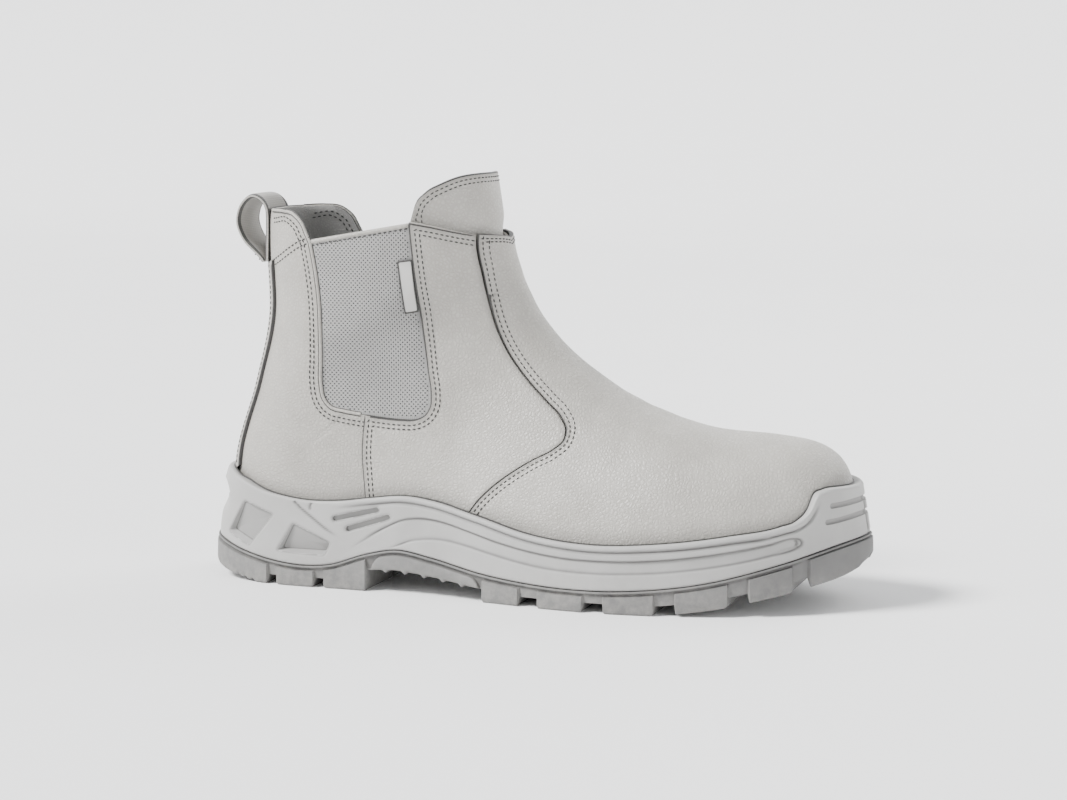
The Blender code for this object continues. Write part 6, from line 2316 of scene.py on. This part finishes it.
@dataclass
class Midsole:
    """Foam cup round the foot of the upper, with the bands, windows, slots and grooves of its side."""

    inset: float = 1.4
    rim_thickness: float = 2.6
    rim_reach: float = 4.8
    rim_bevel: float = 1.2
    rim_round: Table = ((0.55, 0.12), (0.95, 0.4), (1.2, 0.9), (1.2, 1.6))
    wall_shares: tuple[float, ...] = (0.0, 0.15, 0.36, 0.5, 0.75, 1.0)
    wall_closes: tuple[float, float] = (0.36, 0.5)
    rim_spread: float = 26.0
    foot_gap: float = 0.6
    toe_bumper: float = 1.4
    band_depth: float = 1.0
    bead_height: float = 3.0
    bead_depth: float = 0.8
    heel_drop: float = 8.0
    heel_bulge: float = 0.2
    band_ends: tuple[float, ...] = (100.0, 116.0, 284.2, 286.0)
    band_lead: tuple[float, ...] = (84.0, 98.0, 286.0, 291.0)
    bead_end: tuple[float, float] = (270.0, 279.0)
    slot_depth: dict[Side, float] = field(default_factory=lambda: {Side.OUTER: 1.1, Side.INNER: 0.7})
    line_depth: float = 0.65
    line_width: float = 0.52
    # Share of painted shade in the fine grooves and under the bead.
    line_shade: float = 0.78
    outline_share: float = 0.6
    heel_roll: float = 0.85
    heel_hollow: float = 2.7
    # Shares of painted shade round the recesses' floor edges and in their middles.
    window_shade: tuple[float, float] = (0.7, 0.0)
    slot_shade: tuple[float, float] = (0.6, 0.1)
    toe_rib: tuple[float, float, float] = (6.0, 1.6, 2.6)
    slot_radius: float = 1.2
    groove_radius: float = 1.25
    turns: Array = field(default_factory=lambda: np.linspace(0.0, math.pi, 541))

    @staticmethod
    def _wall(x: Array, spread: float) -> Array:
        """Distance of a wall from the last, clear of the panels under the rim.

        Args:
            x: Distances from the heel.
            spread: Length that each step is spread over.

        Returns:
            The distances.
        """
        rear, front = QUARTER_SEAM[-1][0] - RIM_TUCK, VAMP_SEAM[-1][0] - RIM_TUCK
        quarter = ramp(x, rear - spread, rear) * QUARTER_FACE
        vamp = ramp(x, front - spread, front) * (VAMP_FACE - QUARTER_FACE)
        strip = (1 - ramp(x, 21.0, 24.0 + spread)) * 1.5
        return 0.45 + quarter + vamp + strip

    def _side(self) -> tuple[list[Array], list[Array], Array, Array]:
        """Rings up the outer side with their painted shade, the inner wall's distance and the rim's height.

        Returns:
            The rings, each ring's dirt, the distances and the heights.
        """
        x = SOLE.along(self.turns)
        rim_x = SOLE.last_x(x, self.rim_reach)
        side_x = (x + rim_x) / 2
        seam, rim = height(SEAM, x), height(RIM, rim_x)
        heel = 1 - ramp(x, 4.0, 40.0)
        band = between(side_x, *self.band_ends)
        follows = between(side_x, *self.band_lead)
        bead = np.maximum(ramp(x, 60.0, 90.0), 1 - ramp(x, 3.0, 12.0)) * (1 - ramp(rim_x, *self.bead_end))
        third = (rim - seam) / 3
        low = (1 - follows) * (seam + third) + follows * height(BAND_LOW, side_x)
        high = (1 - follows) * (seam + 1.55 * third) + follows * height(BAND_HIGH, side_x)
        crease = rim - self.bead_height - self.heel_drop * heel
        bevel = rim - self.rim_bevel
        wall = self._wall(SOLE.last_x(x, 0.0), self.rim_reach / 2)
        face = self._wall(SOLE.last_x(x, 0.0), self.rim_spread)
        face = face + self.rim_thickness + self.toe_bumper * ramp(rim_x, 284.0, 294.0)
        foot = SOLE.ring(self.turns, self.inset, seam)
        inwards = SOLE.ring(self.turns, self.inset + 1.0, seam) - foot
        head = SOLE.last_ring(self.turns, bevel, face)
        base = seam + 0.3
        rows = [
            (base, 0.55), (base + 0.25, 0.16), (base + 0.8, 0.0), (low - 0.5, 0.0), (low, 0.14 * band),
            (low + 0.3, 0.6 * band), (low + 0.75, self.band_depth * band),
            (high - 0.75, self.band_depth * band), (high - 0.3, 0.6 * band), (high, 0.14 * band),
            (high + 0.5, 0.0), (crease - 1.3, 0.0),
            (crease - 0.5, 0.6 * self.bead_depth * bead), (crease, self.bead_depth * bead),
            (crease + 0.5, 0.6 * self.bead_depth * bead), (crease + 1.2, 0.0), (bevel, 0.0),
        ]
        parts = (1, 1, 14, 1, 1, 1, 11, 1, 1, 1, 14, 1, 1, 1, 1, 2)
        levels = np.maximum.accumulate(np.array([row[0] for row in rows]), axis=0)
        depths = np.array([np.broadcast_to(row[1], x.shape) for row in rows])
        rings, shade_paint = [], []
        for k, count in enumerate(parts):
            last = 1 if k == len(parts) - 1 else 0
            for t in np.linspace(0.0, 1.0, count + 1)[: count + last]:
                z = levels[k] + (levels[k + 1] - levels[k]) * t
                sunk = depths[k] + (depths[k + 1] - depths[k]) * t
                share = np.clip((z - seam) / (bevel - seam), 0.0, 1.0) ** (1 + self.heel_bulge * heel)
                points = foot + (head - foot) * mirrored(share)[:, None]
                points[:, 2] = mirrored(z)
                drawn = self._drawn_lines(points)
                depth = mirrored(sunk) + self.line_depth * drawn - self._swell(points)
                # Painted shade in the fine grooves and in the crease under the bead.
                under_bead = mirrored(bead * bell(z - crease, 0.7))
                points[:, :2] += (inwards * depth[:, None])[:, :2]
                rings.append(points)
                shade_paint.append(self.line_shade * np.maximum(drawn, under_bead))
        for rise, loss in self.rim_round:
            ring = SOLE.last_ring(self.turns, bevel + rise, face - loss)
            ring[:, 2] = mirrored(bevel + rise)
            rings.append(ring)
            shade_paint.append(np.zeros(len(ring)))
        return rings, shade_paint, wall, rim

    def _drawn_lines(self, points: Array) -> Array:
        """Share of the fine grooves round band and recesses, over the heel and beside the toe's rib.

        Args:
            points: Places on the surface.

        Returns:
            The share at each place.
        """
        x, y, z = points.T
        centre, inner, outer = self.toe_rib
        from_rib = np.abs(y - centre) - (inner + outer) / 2
        share = 0.7 * bell(from_rib, 0.5) * ramp(x, 290.0, 296.0) * (1 - ramp(z, 47.0, 49.0))
        for table, start, end in DRAWN_LINES:
            line = smooth_line(table, 1.2)
            gap, run = near_line(points[:, [0, 2]], line)
            faded = ramp(run, 0.0, start) * ramp(run_lengths(line)[-1] - run, 0.0, end)
            share = np.maximum(share, faded * bell(gap, self.line_width))
        outlines = [self._softened(np.array(window)) for window in HEEL_WINDOWS]
        outlines += [self._slot_corners(*np.array(slot)) for slot in SLOTS]
        for outline in outlines:
            gap = gap_to_line(points[:, [0, 2]], closed_line(outline))
            share = np.maximum(share, self.outline_share * bell(gap, self.line_width))
        return share

    def _swell(self, points: Array) -> Array:
        """Height of the roll and the hollow at the back of the heel, and of the rib down the toe.

        Args:
            points: Places on the surface.

        Returns:
            The height at each place.
        """
        x, y, z = points.T
        roll = self.heel_roll * bell(z - 45.5, 3.5) * (1 - ramp(x, 6.0, 24.0))
        hollow = self.heel_hollow * ramp(z, 27.0, 39.0) * (1 - ramp(z, 39.5, 42.3)) * (1 - ramp(x, 5.0, 15.0))
        centre, inner, outer = self.toe_rib
        rib = 0.5 * (1 - ramp(np.abs(y - centre), inner, outer)) * ramp(x, 290.0, 296.0)
        return roll - hollow + rib * ramp(z, 32.0, 34.0) * (1 - ramp(z, 47.0, 49.0))

    def _spot(self, rings: Array, x: float, z: float, side: Side) -> tuple[Array, Array]:
        """Point on the outer side at a distance from the heel and a height, and its outward direction.

        Args:
            rings: Rings up the midsole's side.
            x: Distance from the heel.
            z: Height.
            side: Side of the boot.

        Returns:
            The point and the direction.
        """
        count = len(self.turns)
        half = rings[:, :count]
        if side is Side.INNER:
            half = np.concatenate([rings[:, :1], rings[:, : count - 2 : -1]], axis=1)
        level = np.array([
            [np.interp(z, half[:, k, 2], half[:, k, axis]) for axis in (0, 1)] for k in range(count)
        ])
        level = level[np.argsort(level[:, 0])]
        before, y, after = np.interp((x - 1.5, x, x + 1.5), level[:, 0], level[:, 1])
        outward = np.array([-(after - before) / 3.0 * side.value, float(side.value), 0.0])
        return np.array([x, y, z]), outward / np.linalg.norm(outward)

    def _recess(self, name: str, corners: Array, floor: Array, side: Side, rings: Array,
                finish: bpy.types.Material, shade_paint: tuple[float, float]) -> bpy.types.Object:
        """Cutter of a recess with sloped walls.

        Args:
            name: Name of the cutter.
            corners: x and z of the outline on the midsole's side.
            floor: x, z and depth of the floor's corners.
            side: Side of the boot.
            rings: Rings up the midsole's side.
            finish: Material of the cut.
            shade_paint: Share of painted shade round the floor's edge and in its middle.

        Returns:
            The cutter.
        """
        spots = [self._spot(rings, x, z, side) for x, z in corners]
        places = np.array([spot[0] for spot in spots])
        sunk = np.array([self._spot(rings, x, z, side)[0] for x, z, _ in floor])
        middle = np.mean([spot[1] for spot in spots], axis=0)
        middle /= np.linalg.norm(middle)
        sketch = Sketch()
        loops = [sketch.add(places + middle * lift) for lift in (6.0, 0.25)]
        bottom = sunk - middle * floor[:, 2:]
        inwards = bottom.mean(axis=0) - bottom
        inset = bottom + inwards * (0.5 / np.linalg.norm(inwards, axis=1, keepdims=True))
        # Painted shade where the walls meet the floor.
        loops.append(sketch.add(places + 0.8 * (bottom - places), shade_paint[1]))
        loops += [sketch.add(bottom, shade_paint[0]), sketch.add(inset, shade_paint[1])]
        sketch.sheet(loops, closed=True)
        sketch.fan(loops[0])
        sketch.fan(loops[-1])
        return sketch.build(name, [finish])

    def _slot_corners(self, start: Array, end: Array) -> Array:
        """Outline of a round-ended slot.

        Args:
            start: Middle of the rear end.
            end: Middle of the front end.

        Returns:
            The corners.
        """
        heading = math.atan2(end[1] - start[1], end[0] - start[0])
        corners = []
        for centre, first in ((end, heading - math.pi / 2), (start, heading + math.pi / 2)):
            for k in range(9):
                angle = first + math.pi * k / 8
                corners.append(centre + self.slot_radius * np.array([math.cos(angle), math.sin(angle)]))
        return np.array(corners)

    def _cutters(self, rings: Array, finish: bpy.types.Material) -> list[bpy.types.Object]:
        """Cutters of the windows and slots on both sides and of the grooves round the toe.

        Args:
            rings: Rings up the midsole's side.
            finish: Material of the cuts.

        Returns:
            The cutters.
        """
        made = []
        for side in Side:
            word = side.word
            for k, corners in enumerate(HEEL_WINDOWS):
                corners = np.array(corners)
                floor = self._softened(np.column_stack([corners, np.zeros(4)]) + np.array(WINDOW_FLOOR))
                made.append(self._recess(f"window_{word}_{k}", self._softened(corners), floor, side, rings,
                                         finish, self.window_shade))
            for k, (start, end) in enumerate(SLOTS):
                corners = self._slot_corners(np.array(start), np.array(end))
                middle = corners.mean(axis=0)
                depth = np.full(len(corners), self.slot_depth[side])
                floor = np.column_stack([middle + 0.97 * (corners - middle), depth])
                made.append(self._recess(f"slot_{word}_{k}", corners, floor, side, rings, finish,
                                         self.slot_shade))
        for k, (start, low, high) in enumerate(TOE_GROOVES):
            route = []
            for rise in rings.transpose(1, 0, 2):
                x = np.interp(low, rise[:, 2], rise[:, 0])
                z = low + (high - low) * ramp(x, start, LENGTH)
                if x > start:
                    route.append([*(np.interp(z, rise[:, 2], rise[:, axis]) for axis in (0, 1)), z])
            run = run_lengths(np.array(route))
            to_end = np.clip(np.minimum(run, run[-1] - run) / self.groove_radius, 0.02, 1.0)
            sketch = Sketch()
            sketch.tube(np.array(route), self.groove_radius * np.sqrt(1 - (1 - to_end) ** 2), 14)
            made.append(sketch.build(f"toe_groove_{k}", [finish]))
        return made

    @staticmethod
    def _softened(corners: Array, radius: float = 1.3) -> Array:
        """Polygon with its corners rounded off.

        Args:
            corners: Corners of the polygon.
            radius: Length taken off each edge's end.

        Returns:
            The rounded polygon.
        """
        out = []
        for k, corner in enumerate(corners):
            before, after = corners[k - 1] - corner, corners[(k + 1) % len(corners)] - corner
            a = corner + before / np.linalg.norm(before) * radius
            b = corner + after / np.linalg.norm(after) * radius
            for t in np.linspace(0.0, 1.0, 5):
                out.append((1 - t) ** 2 * a + 2 * t * (1 - t) * corner + t**2 * b)
        return np.array(out)

    def build(self, finishes: Finishes) -> None:
        """Builds the cup and sinks the recesses of its side.

        Args:
            finishes: Finishes of the boot.
        """
        side, shade_paint, wall, rim = self._side()
        x = SOLE.along(self.turns)
        bed = height(FOOTBED, SOLE.last_x(x, WALL))
        sketch = Sketch()
        rings = [sketch.add(SOLE.ring(self.turns, 5.6, height(SEAM, x) + 0.3))]
        rings += [sketch.add(ring, share) for ring, share in zip(side, shade_paint)]
        for share in self.wall_shares:
            level = (rim - 0.3) * (1 - share) + bed * share
            gap = wall + (self.foot_gap - wall) * ramp(share, *self.wall_closes)
            rings.append(sketch.add(SOLE.last_ring(self.turns, level, gap)))
        sketch.sheet(rings, closed=True)
        columns = np.linspace(0.0, 1.0, 3)
        sketch.across(rings[0], columns)
        sketch.across(rings[-1], columns)
        piece = sketch.build("foam_midsole", [finishes.foam])
        # The cuts take the darker recess finish, painted shade in the windows, slots and toe grooves.
        carve(piece, self._cutters(np.array(side), finishes.recess))
        settle(piece, "pale_foam", "midsole")
        # Dark cord along the join of the rim and the leather: painted shade in that crevice.
        line = SOLE.last_ring(self.turns, rim - 0.05, wall - 0.2)
        bead = Sketch()
        bead.tube(closed_line(line), 0.45, 6)
        settle(bead.build("rim_line", [finishes.edge]), "pale_foam")


@dataclass
class Outsole:
    """Rubber outsole with rounded lugs, a ribbed arch and a lip along its top edge."""

    lug_depth: float = 4.2
    ledge_inset: float = 1.7
    ledge_drop: float = 2.4
    toe_ledge_drop: float = 1.75
    arch_panel: tuple[float, float] = (90.4, 144.0)
    arch_corner: float = 5.0
    lip_inset: float = 0.7
    arch_ribs: int = 5
    rib_height: float = 1.3
    tread_least: float = 4.2
    channel: tuple[float, ...] = (0.455, 0.470, 0.530, 0.545)
    channel_span: tuple[float, float] = (20.0, 296.0)
    step: float = 2.2
    heel_nicks: tuple[float, ...] = (21.5, 25.5, 29.5)

    def _stations(self) -> tuple[Array, Array, Array]:
        """Distances from the heel, how much of a lug stands there, and the lowest height.

        Returns:
            The distances, whether a lug stands, and the heights.
        """
        rows: list[tuple[float, float, float]] = []
        for start, end in LUGS:
            count = max(4, int((end - start) / (self.step if start > 0.0 else 0.8)))
            inner = np.linspace(start + 0.6, end - 0.6, count)
            if start > 0.0:
                rows += [(start - 0.7, 0.0, 0.0), (start, 1.0, 0.7), (start + 0.2, 1.0, 0.25)]
            else:
                rows += [(0.0, 1.0, 0.0), (0.15, 1.0, 0.0)]
            rows += [(x, 1.0, 0.0) for x in inner]
            if end < LENGTH:
                rows += [(end - 0.2, 1.0, 0.25), (end, 1.0, 0.7), (end + 0.7, 0.0, 0.0)]
            else:
                rows += [(end - 0.3, 1.0, 0.0), (end - 0.06, 1.0, 0.0), (end, 1.0, 0.0)]
        arch = np.linspace(LUGS[2][1] + 0.9, LUGS[3][0] - 0.9, 12 * (self.arch_ribs + 1) + 1)
        rows += [(x, 0.0, 0.0) for x in arch]
        for (_, end), (start, _) in zip(LUGS[:-1], LUGS[1:]):
            if start - end < 20.0:
                rows += [(x, 0.0, 0.0) for x in np.linspace(end + 0.7, start - 0.7, 5)[1:-1]]
        table = np.array(sorted(rows))
        x, lug, lift = table.T
        ground = np.maximum(0.0, height(FLOOR_LINE, x))
        nicks = sum(bell(x - place, 0.8) for place in self.heel_nicks)
        low = np.where(lug > 0.5, ground + lift + nicks, ground + self.lug_depth)
        return x, lug > 0.5, np.where(self._in_arch(x), self._arch_height(x), low)

    @staticmethod
    def _in_arch(x: Array) -> Array:
        """Which stations lie in the arch."""
        return (x > LUGS[2][1] + 0.65) & (x < LUGS[3][0] - 0.65)

    def _arch_height(self, x: Array) -> Array:
        """Underside of the arch with its ribs, steep on the toe side.

        Args:
            x: Distances from the heel.

        Returns:
            The heights.
        """
        start, end = LUGS[2][1] + 0.7, LUGS[3][0] - 0.7
        place = (x - start) / (end - start) * (self.arch_ribs + 1)
        local = place - np.round(place)
        rib = np.where(local < 0, 1 + local / 0.22, 1 - local / 0.09)
        rib = np.clip(rib, 0.0, 1.0) * ((np.round(place) > 0) & (np.round(place) <= self.arch_ribs))
        return height(ARCH, x) - self.rib_height * rib * rib * (3 - 2 * rib)

    def build(self, finishes: Finishes) -> None:
        """Builds the outsole.

        Args:
            finishes: Finishes of the boot.
        """
        x, lug, low = self._stations()
        turns = SOLE.turn(x)
        seam = height(SEAM, x)
        low = np.minimum(low, seam - self.tread_least)
        toe = ramp(x, 284.0, 290.0)
        drop = self.ledge_drop + (self.toe_ledge_drop - self.ledge_drop) * toe
        to_end = np.minimum(x - self.arch_panel[0], self.arch_panel[1] - x)
        drop = drop + rounded(to_end, self.arch_corner) * self._in_arch(x)
        stands = lug | (to_end > 0.0)
        ledge = np.maximum(seam - drop, low + 0.5)
        inset, lip = self.ledge_inset, self.lip_inset
        sketch = Sketch()
        rings = []
        for depth, rise in ((1.2, 0.0), (0.6, 0.12), (0.2, 0.5), (0.0, 1.2)):
            level = np.minimum(low + rise, ledge - 0.3 + 0.05 * rise)
            rings.append(sketch.add(SOLE.ring(turns, np.where(stands, depth, inset), level)))
        for share in (0.5, 0.9):
            level = np.minimum(low + 1.2, ledge - 0.2) * (1 - share) + ledge * share
            rings.append(sketch.add(SOLE.ring(turns, np.where(stands, 0.2 * share, inset), level)))
        # Painted shade on the ledge under the lip and where the outsole meets the midsole, less at the toe.
        for depth, level, shade_paint in (
            (np.where(stands, 0.35, inset), ledge + 0.05, 0.1),
            (np.where(stands, 1.0, inset), ledge + 0.3, 0.4),
            (inset, ledge + 0.5, 0.5), (inset, seam - 1.1, 0.5), (lip + 0.3, seam - 0.95, 0.3),
            (lip, seam - 0.65, 0.0), (lip, seam - 0.25, 0.0), (lip + 0.25, seam, 0.4),
            (lip + 1.0, seam + 0.02, 0.6), (5.0, seam + 0.02, 0.6),
        ):
            shade_paint = mirrored(shade_paint * (1 - 0.5 * toe))
            rings.append(sketch.add(SOLE.ring(turns, depth, np.maximum(level, low + 0.3)), shade_paint))
        sketch.sheet(rings, closed=True)
        outer = np.linspace(0.0, self.channel[0], 9)
        columns = np.concatenate([outer, self.channel[1:3], np.linspace(self.channel[3], 1.0, 9)])

        def tread(rungs: Array) -> Array:
            """Sinks the middle channel into the lugs.

            Args:
                rungs: Points from side to side.

            Returns:
                The points moved.
            """
            share = columns[None, :]
            sunk = (share > self.channel[0]) & (share < self.channel[3])
            spanned = (x > self.channel_span[0]) & (x < self.channel_span[1]) & lug
            rungs[..., 2] += self.lug_depth * (sunk & spanned[:, None])
            return rungs

        sketch.across(rings[0], columns, tread)
        sketch.across(rings[-1], np.linspace(0.0, 1.0, 3))
        settle(sketch.build("rubber_outsole", [finishes.rubber]), "grey_rubber", "outsole")


@dataclass
class Insole:
    """Footbed inside the upper, with a soft rounded edge."""

    thickness: float = 4.0
    clearance: float = 0.6
    inset: float = -2.9
    edge_rows: Table = ((0.0, 0.0), (0.55, 0.0), (0.8, -0.25), (0.95, -0.7), (1.0, -1.5))

    def build(self, finishes: Finishes) -> None:
        """Builds the footbed.

        Args:
            finishes: Finishes of the boot.
        """
        turns = np.linspace(0.0, math.pi, 121)
        x = SOLE.along(turns)
        bed = height(FOOTBED, SOLE.last_x(x, -WALL)) + self.clearance
        sketch = Sketch()
        rings = []
        for rise, inset in self.edge_rows:
            ring = SOLE.last_ring(turns, bed + self.thickness * rise, self.inset + inset)
            rings.append(sketch.add(ring))
        sketch.sheet(rings, closed=True)
        columns = np.linspace(0.0, 1.0, 17)

        def dished(rungs: Array) -> Array:
            """Hollows the middle of the bed."""
            rungs[..., 2] -= 0.8 * np.sin(math.pi * columns)[None, :]
            return rungs

        sketch.across(rings[-1], columns, dished)
        sketch.across(rings[0], np.linspace(0.0, 1.0, 3))
        settle(sketch.build("footbed", [finishes.insole]), "insole_cloth", "insole")


# Studio


SUN_HEADING = (0.95, 0.6, -1.2)
LAMP_TARGET = (0.0, 0.0, 0.08)
LAMPS = (
    ("left", (-1.4, -1.0, 0.7), 8.0, 0.7),
    ("rim", (0.9, 1.1, 1.1), 10.0, 0.9),
    ("toe", (1.5, -0.75, 0.45), 9.0, 0.9),
)


@dataclass(frozen=True)
class Studio:
    """Pale floor, soft lights and the drawing's camera."""

    target: tuple[float, float, float] = (154.573, 0.0, 84.993)
    azimuth: float = 18.0
    elevation: float = 7.17
    distance: float = 1200.0
    lens: float = 89.106
    sky: float = 0.52
    horizon: float = 2.5
    sun: float = 7.4

    def build(self, finishes: Finishes) -> None:
        """Sets up the floor, the light and the camera.

        Args:
            finishes: Finishes of the boot.
        """
        self._floor(finishes)
        self._lights()
        self._camera()

    @staticmethod
    def _floor(finishes: Finishes) -> None:
        """Floor that turns up into a plain backdrop far behind the boot.

        Args:
            finishes: Finishes of the boot.
        """
        sketch = Sketch()
        width = np.array([-6000.0, 6000.0])
        angle = np.linspace(0.0, math.pi / 2, 16)
        y = np.concatenate([[-6000.0], 2600.0 + 900.0 * np.sin(angle), [3500.0]])
        z = np.concatenate([[0.0], 900.0 * (1 - np.cos(angle)), [5000.0]])
        rows = [sketch.add(np.column_stack([width, np.full(2, a), np.full(2, b)])) for a, b in zip(y, z)]
        sketch.sheet(rows)
        sketch.build("studio_floor", [finishes.floor], outward=False)

    def _lights(self) -> None:
        """Soft sun from the upper left, lamps for the ends and a sky brightest at the horizon."""
        world = bpy.data.worlds.new("studio_sky")
        bpy.context.scene.world = world
        world.use_nodes = True
        sky = world.node_tree.nodes["Background"]
        sky.inputs["Color"].default_value = (0.95, 0.97, 1.0, 1.0)
        w = Wires(world.node_tree)
        heading = w.node("ShaderNodeTexCoord").outputs["Object"]
        rise = w.node("ShaderNodeSeparateXYZ", {"Vector": heading}).outputs["Z"]
        w.feed(sky.inputs["Strength"], w.span(rise, 0.02, 0.16, self.horizon, self.sky))
        sun = bpy.data.lights.new("key", "SUN")
        sun.energy = self.sun
        sun.angle = math.radians(18.0)
        holder = linked("key", sun)
        holder.rotation_euler = Vector(SUN_HEADING).to_track_quat("-Z", "Y").to_euler()
        for name, place, power, size in LAMPS:
            lamp = bpy.data.lights.new(name, "AREA")
            lamp.energy = power
            lamp.size = size
            holder = linked(name, lamp)
            holder.location = place
            heading = Vector(LAMP_TARGET) - Vector(place)
            holder.rotation_euler = heading.to_track_quat("-Z", "Y").to_euler()

    def _camera(self) -> None:
        """Camera at the drawing's viewing angle."""
        target = in_model(np.array(self.target))
        a, e = math.radians(self.azimuth), math.radians(self.elevation)
        back = np.array([math.sin(a) * math.cos(e), -math.cos(a) * math.cos(e), math.sin(e)])
        camera = bpy.data.cameras.new("drawing_view")
        camera.lens = self.lens
        camera.sensor_width = 36.0
        camera.sensor_fit = "HORIZONTAL"
        camera.clip_start, camera.clip_end = 0.05, 50.0
        holder = linked("drawing_view", camera)
        holder.location = target + back * self.distance * MM
        holder.rotation_euler = Vector(-back).to_track_quat("-Z", "Y").to_euler()
        bpy.context.scene.camera = holder


def main() -> None:
    """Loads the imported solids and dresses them."""
    logging.basicConfig(level=logging.INFO, format="%(name)s %(message)s")
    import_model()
    finishes = mixed_finishes()
    Studio().build(finishes)
    Outsole().build(finishes)
    Midsole().build(finishes)
    Insole().build(finishes)
    dress_upper(finishes)


if __name__ == "__main__":
    main()
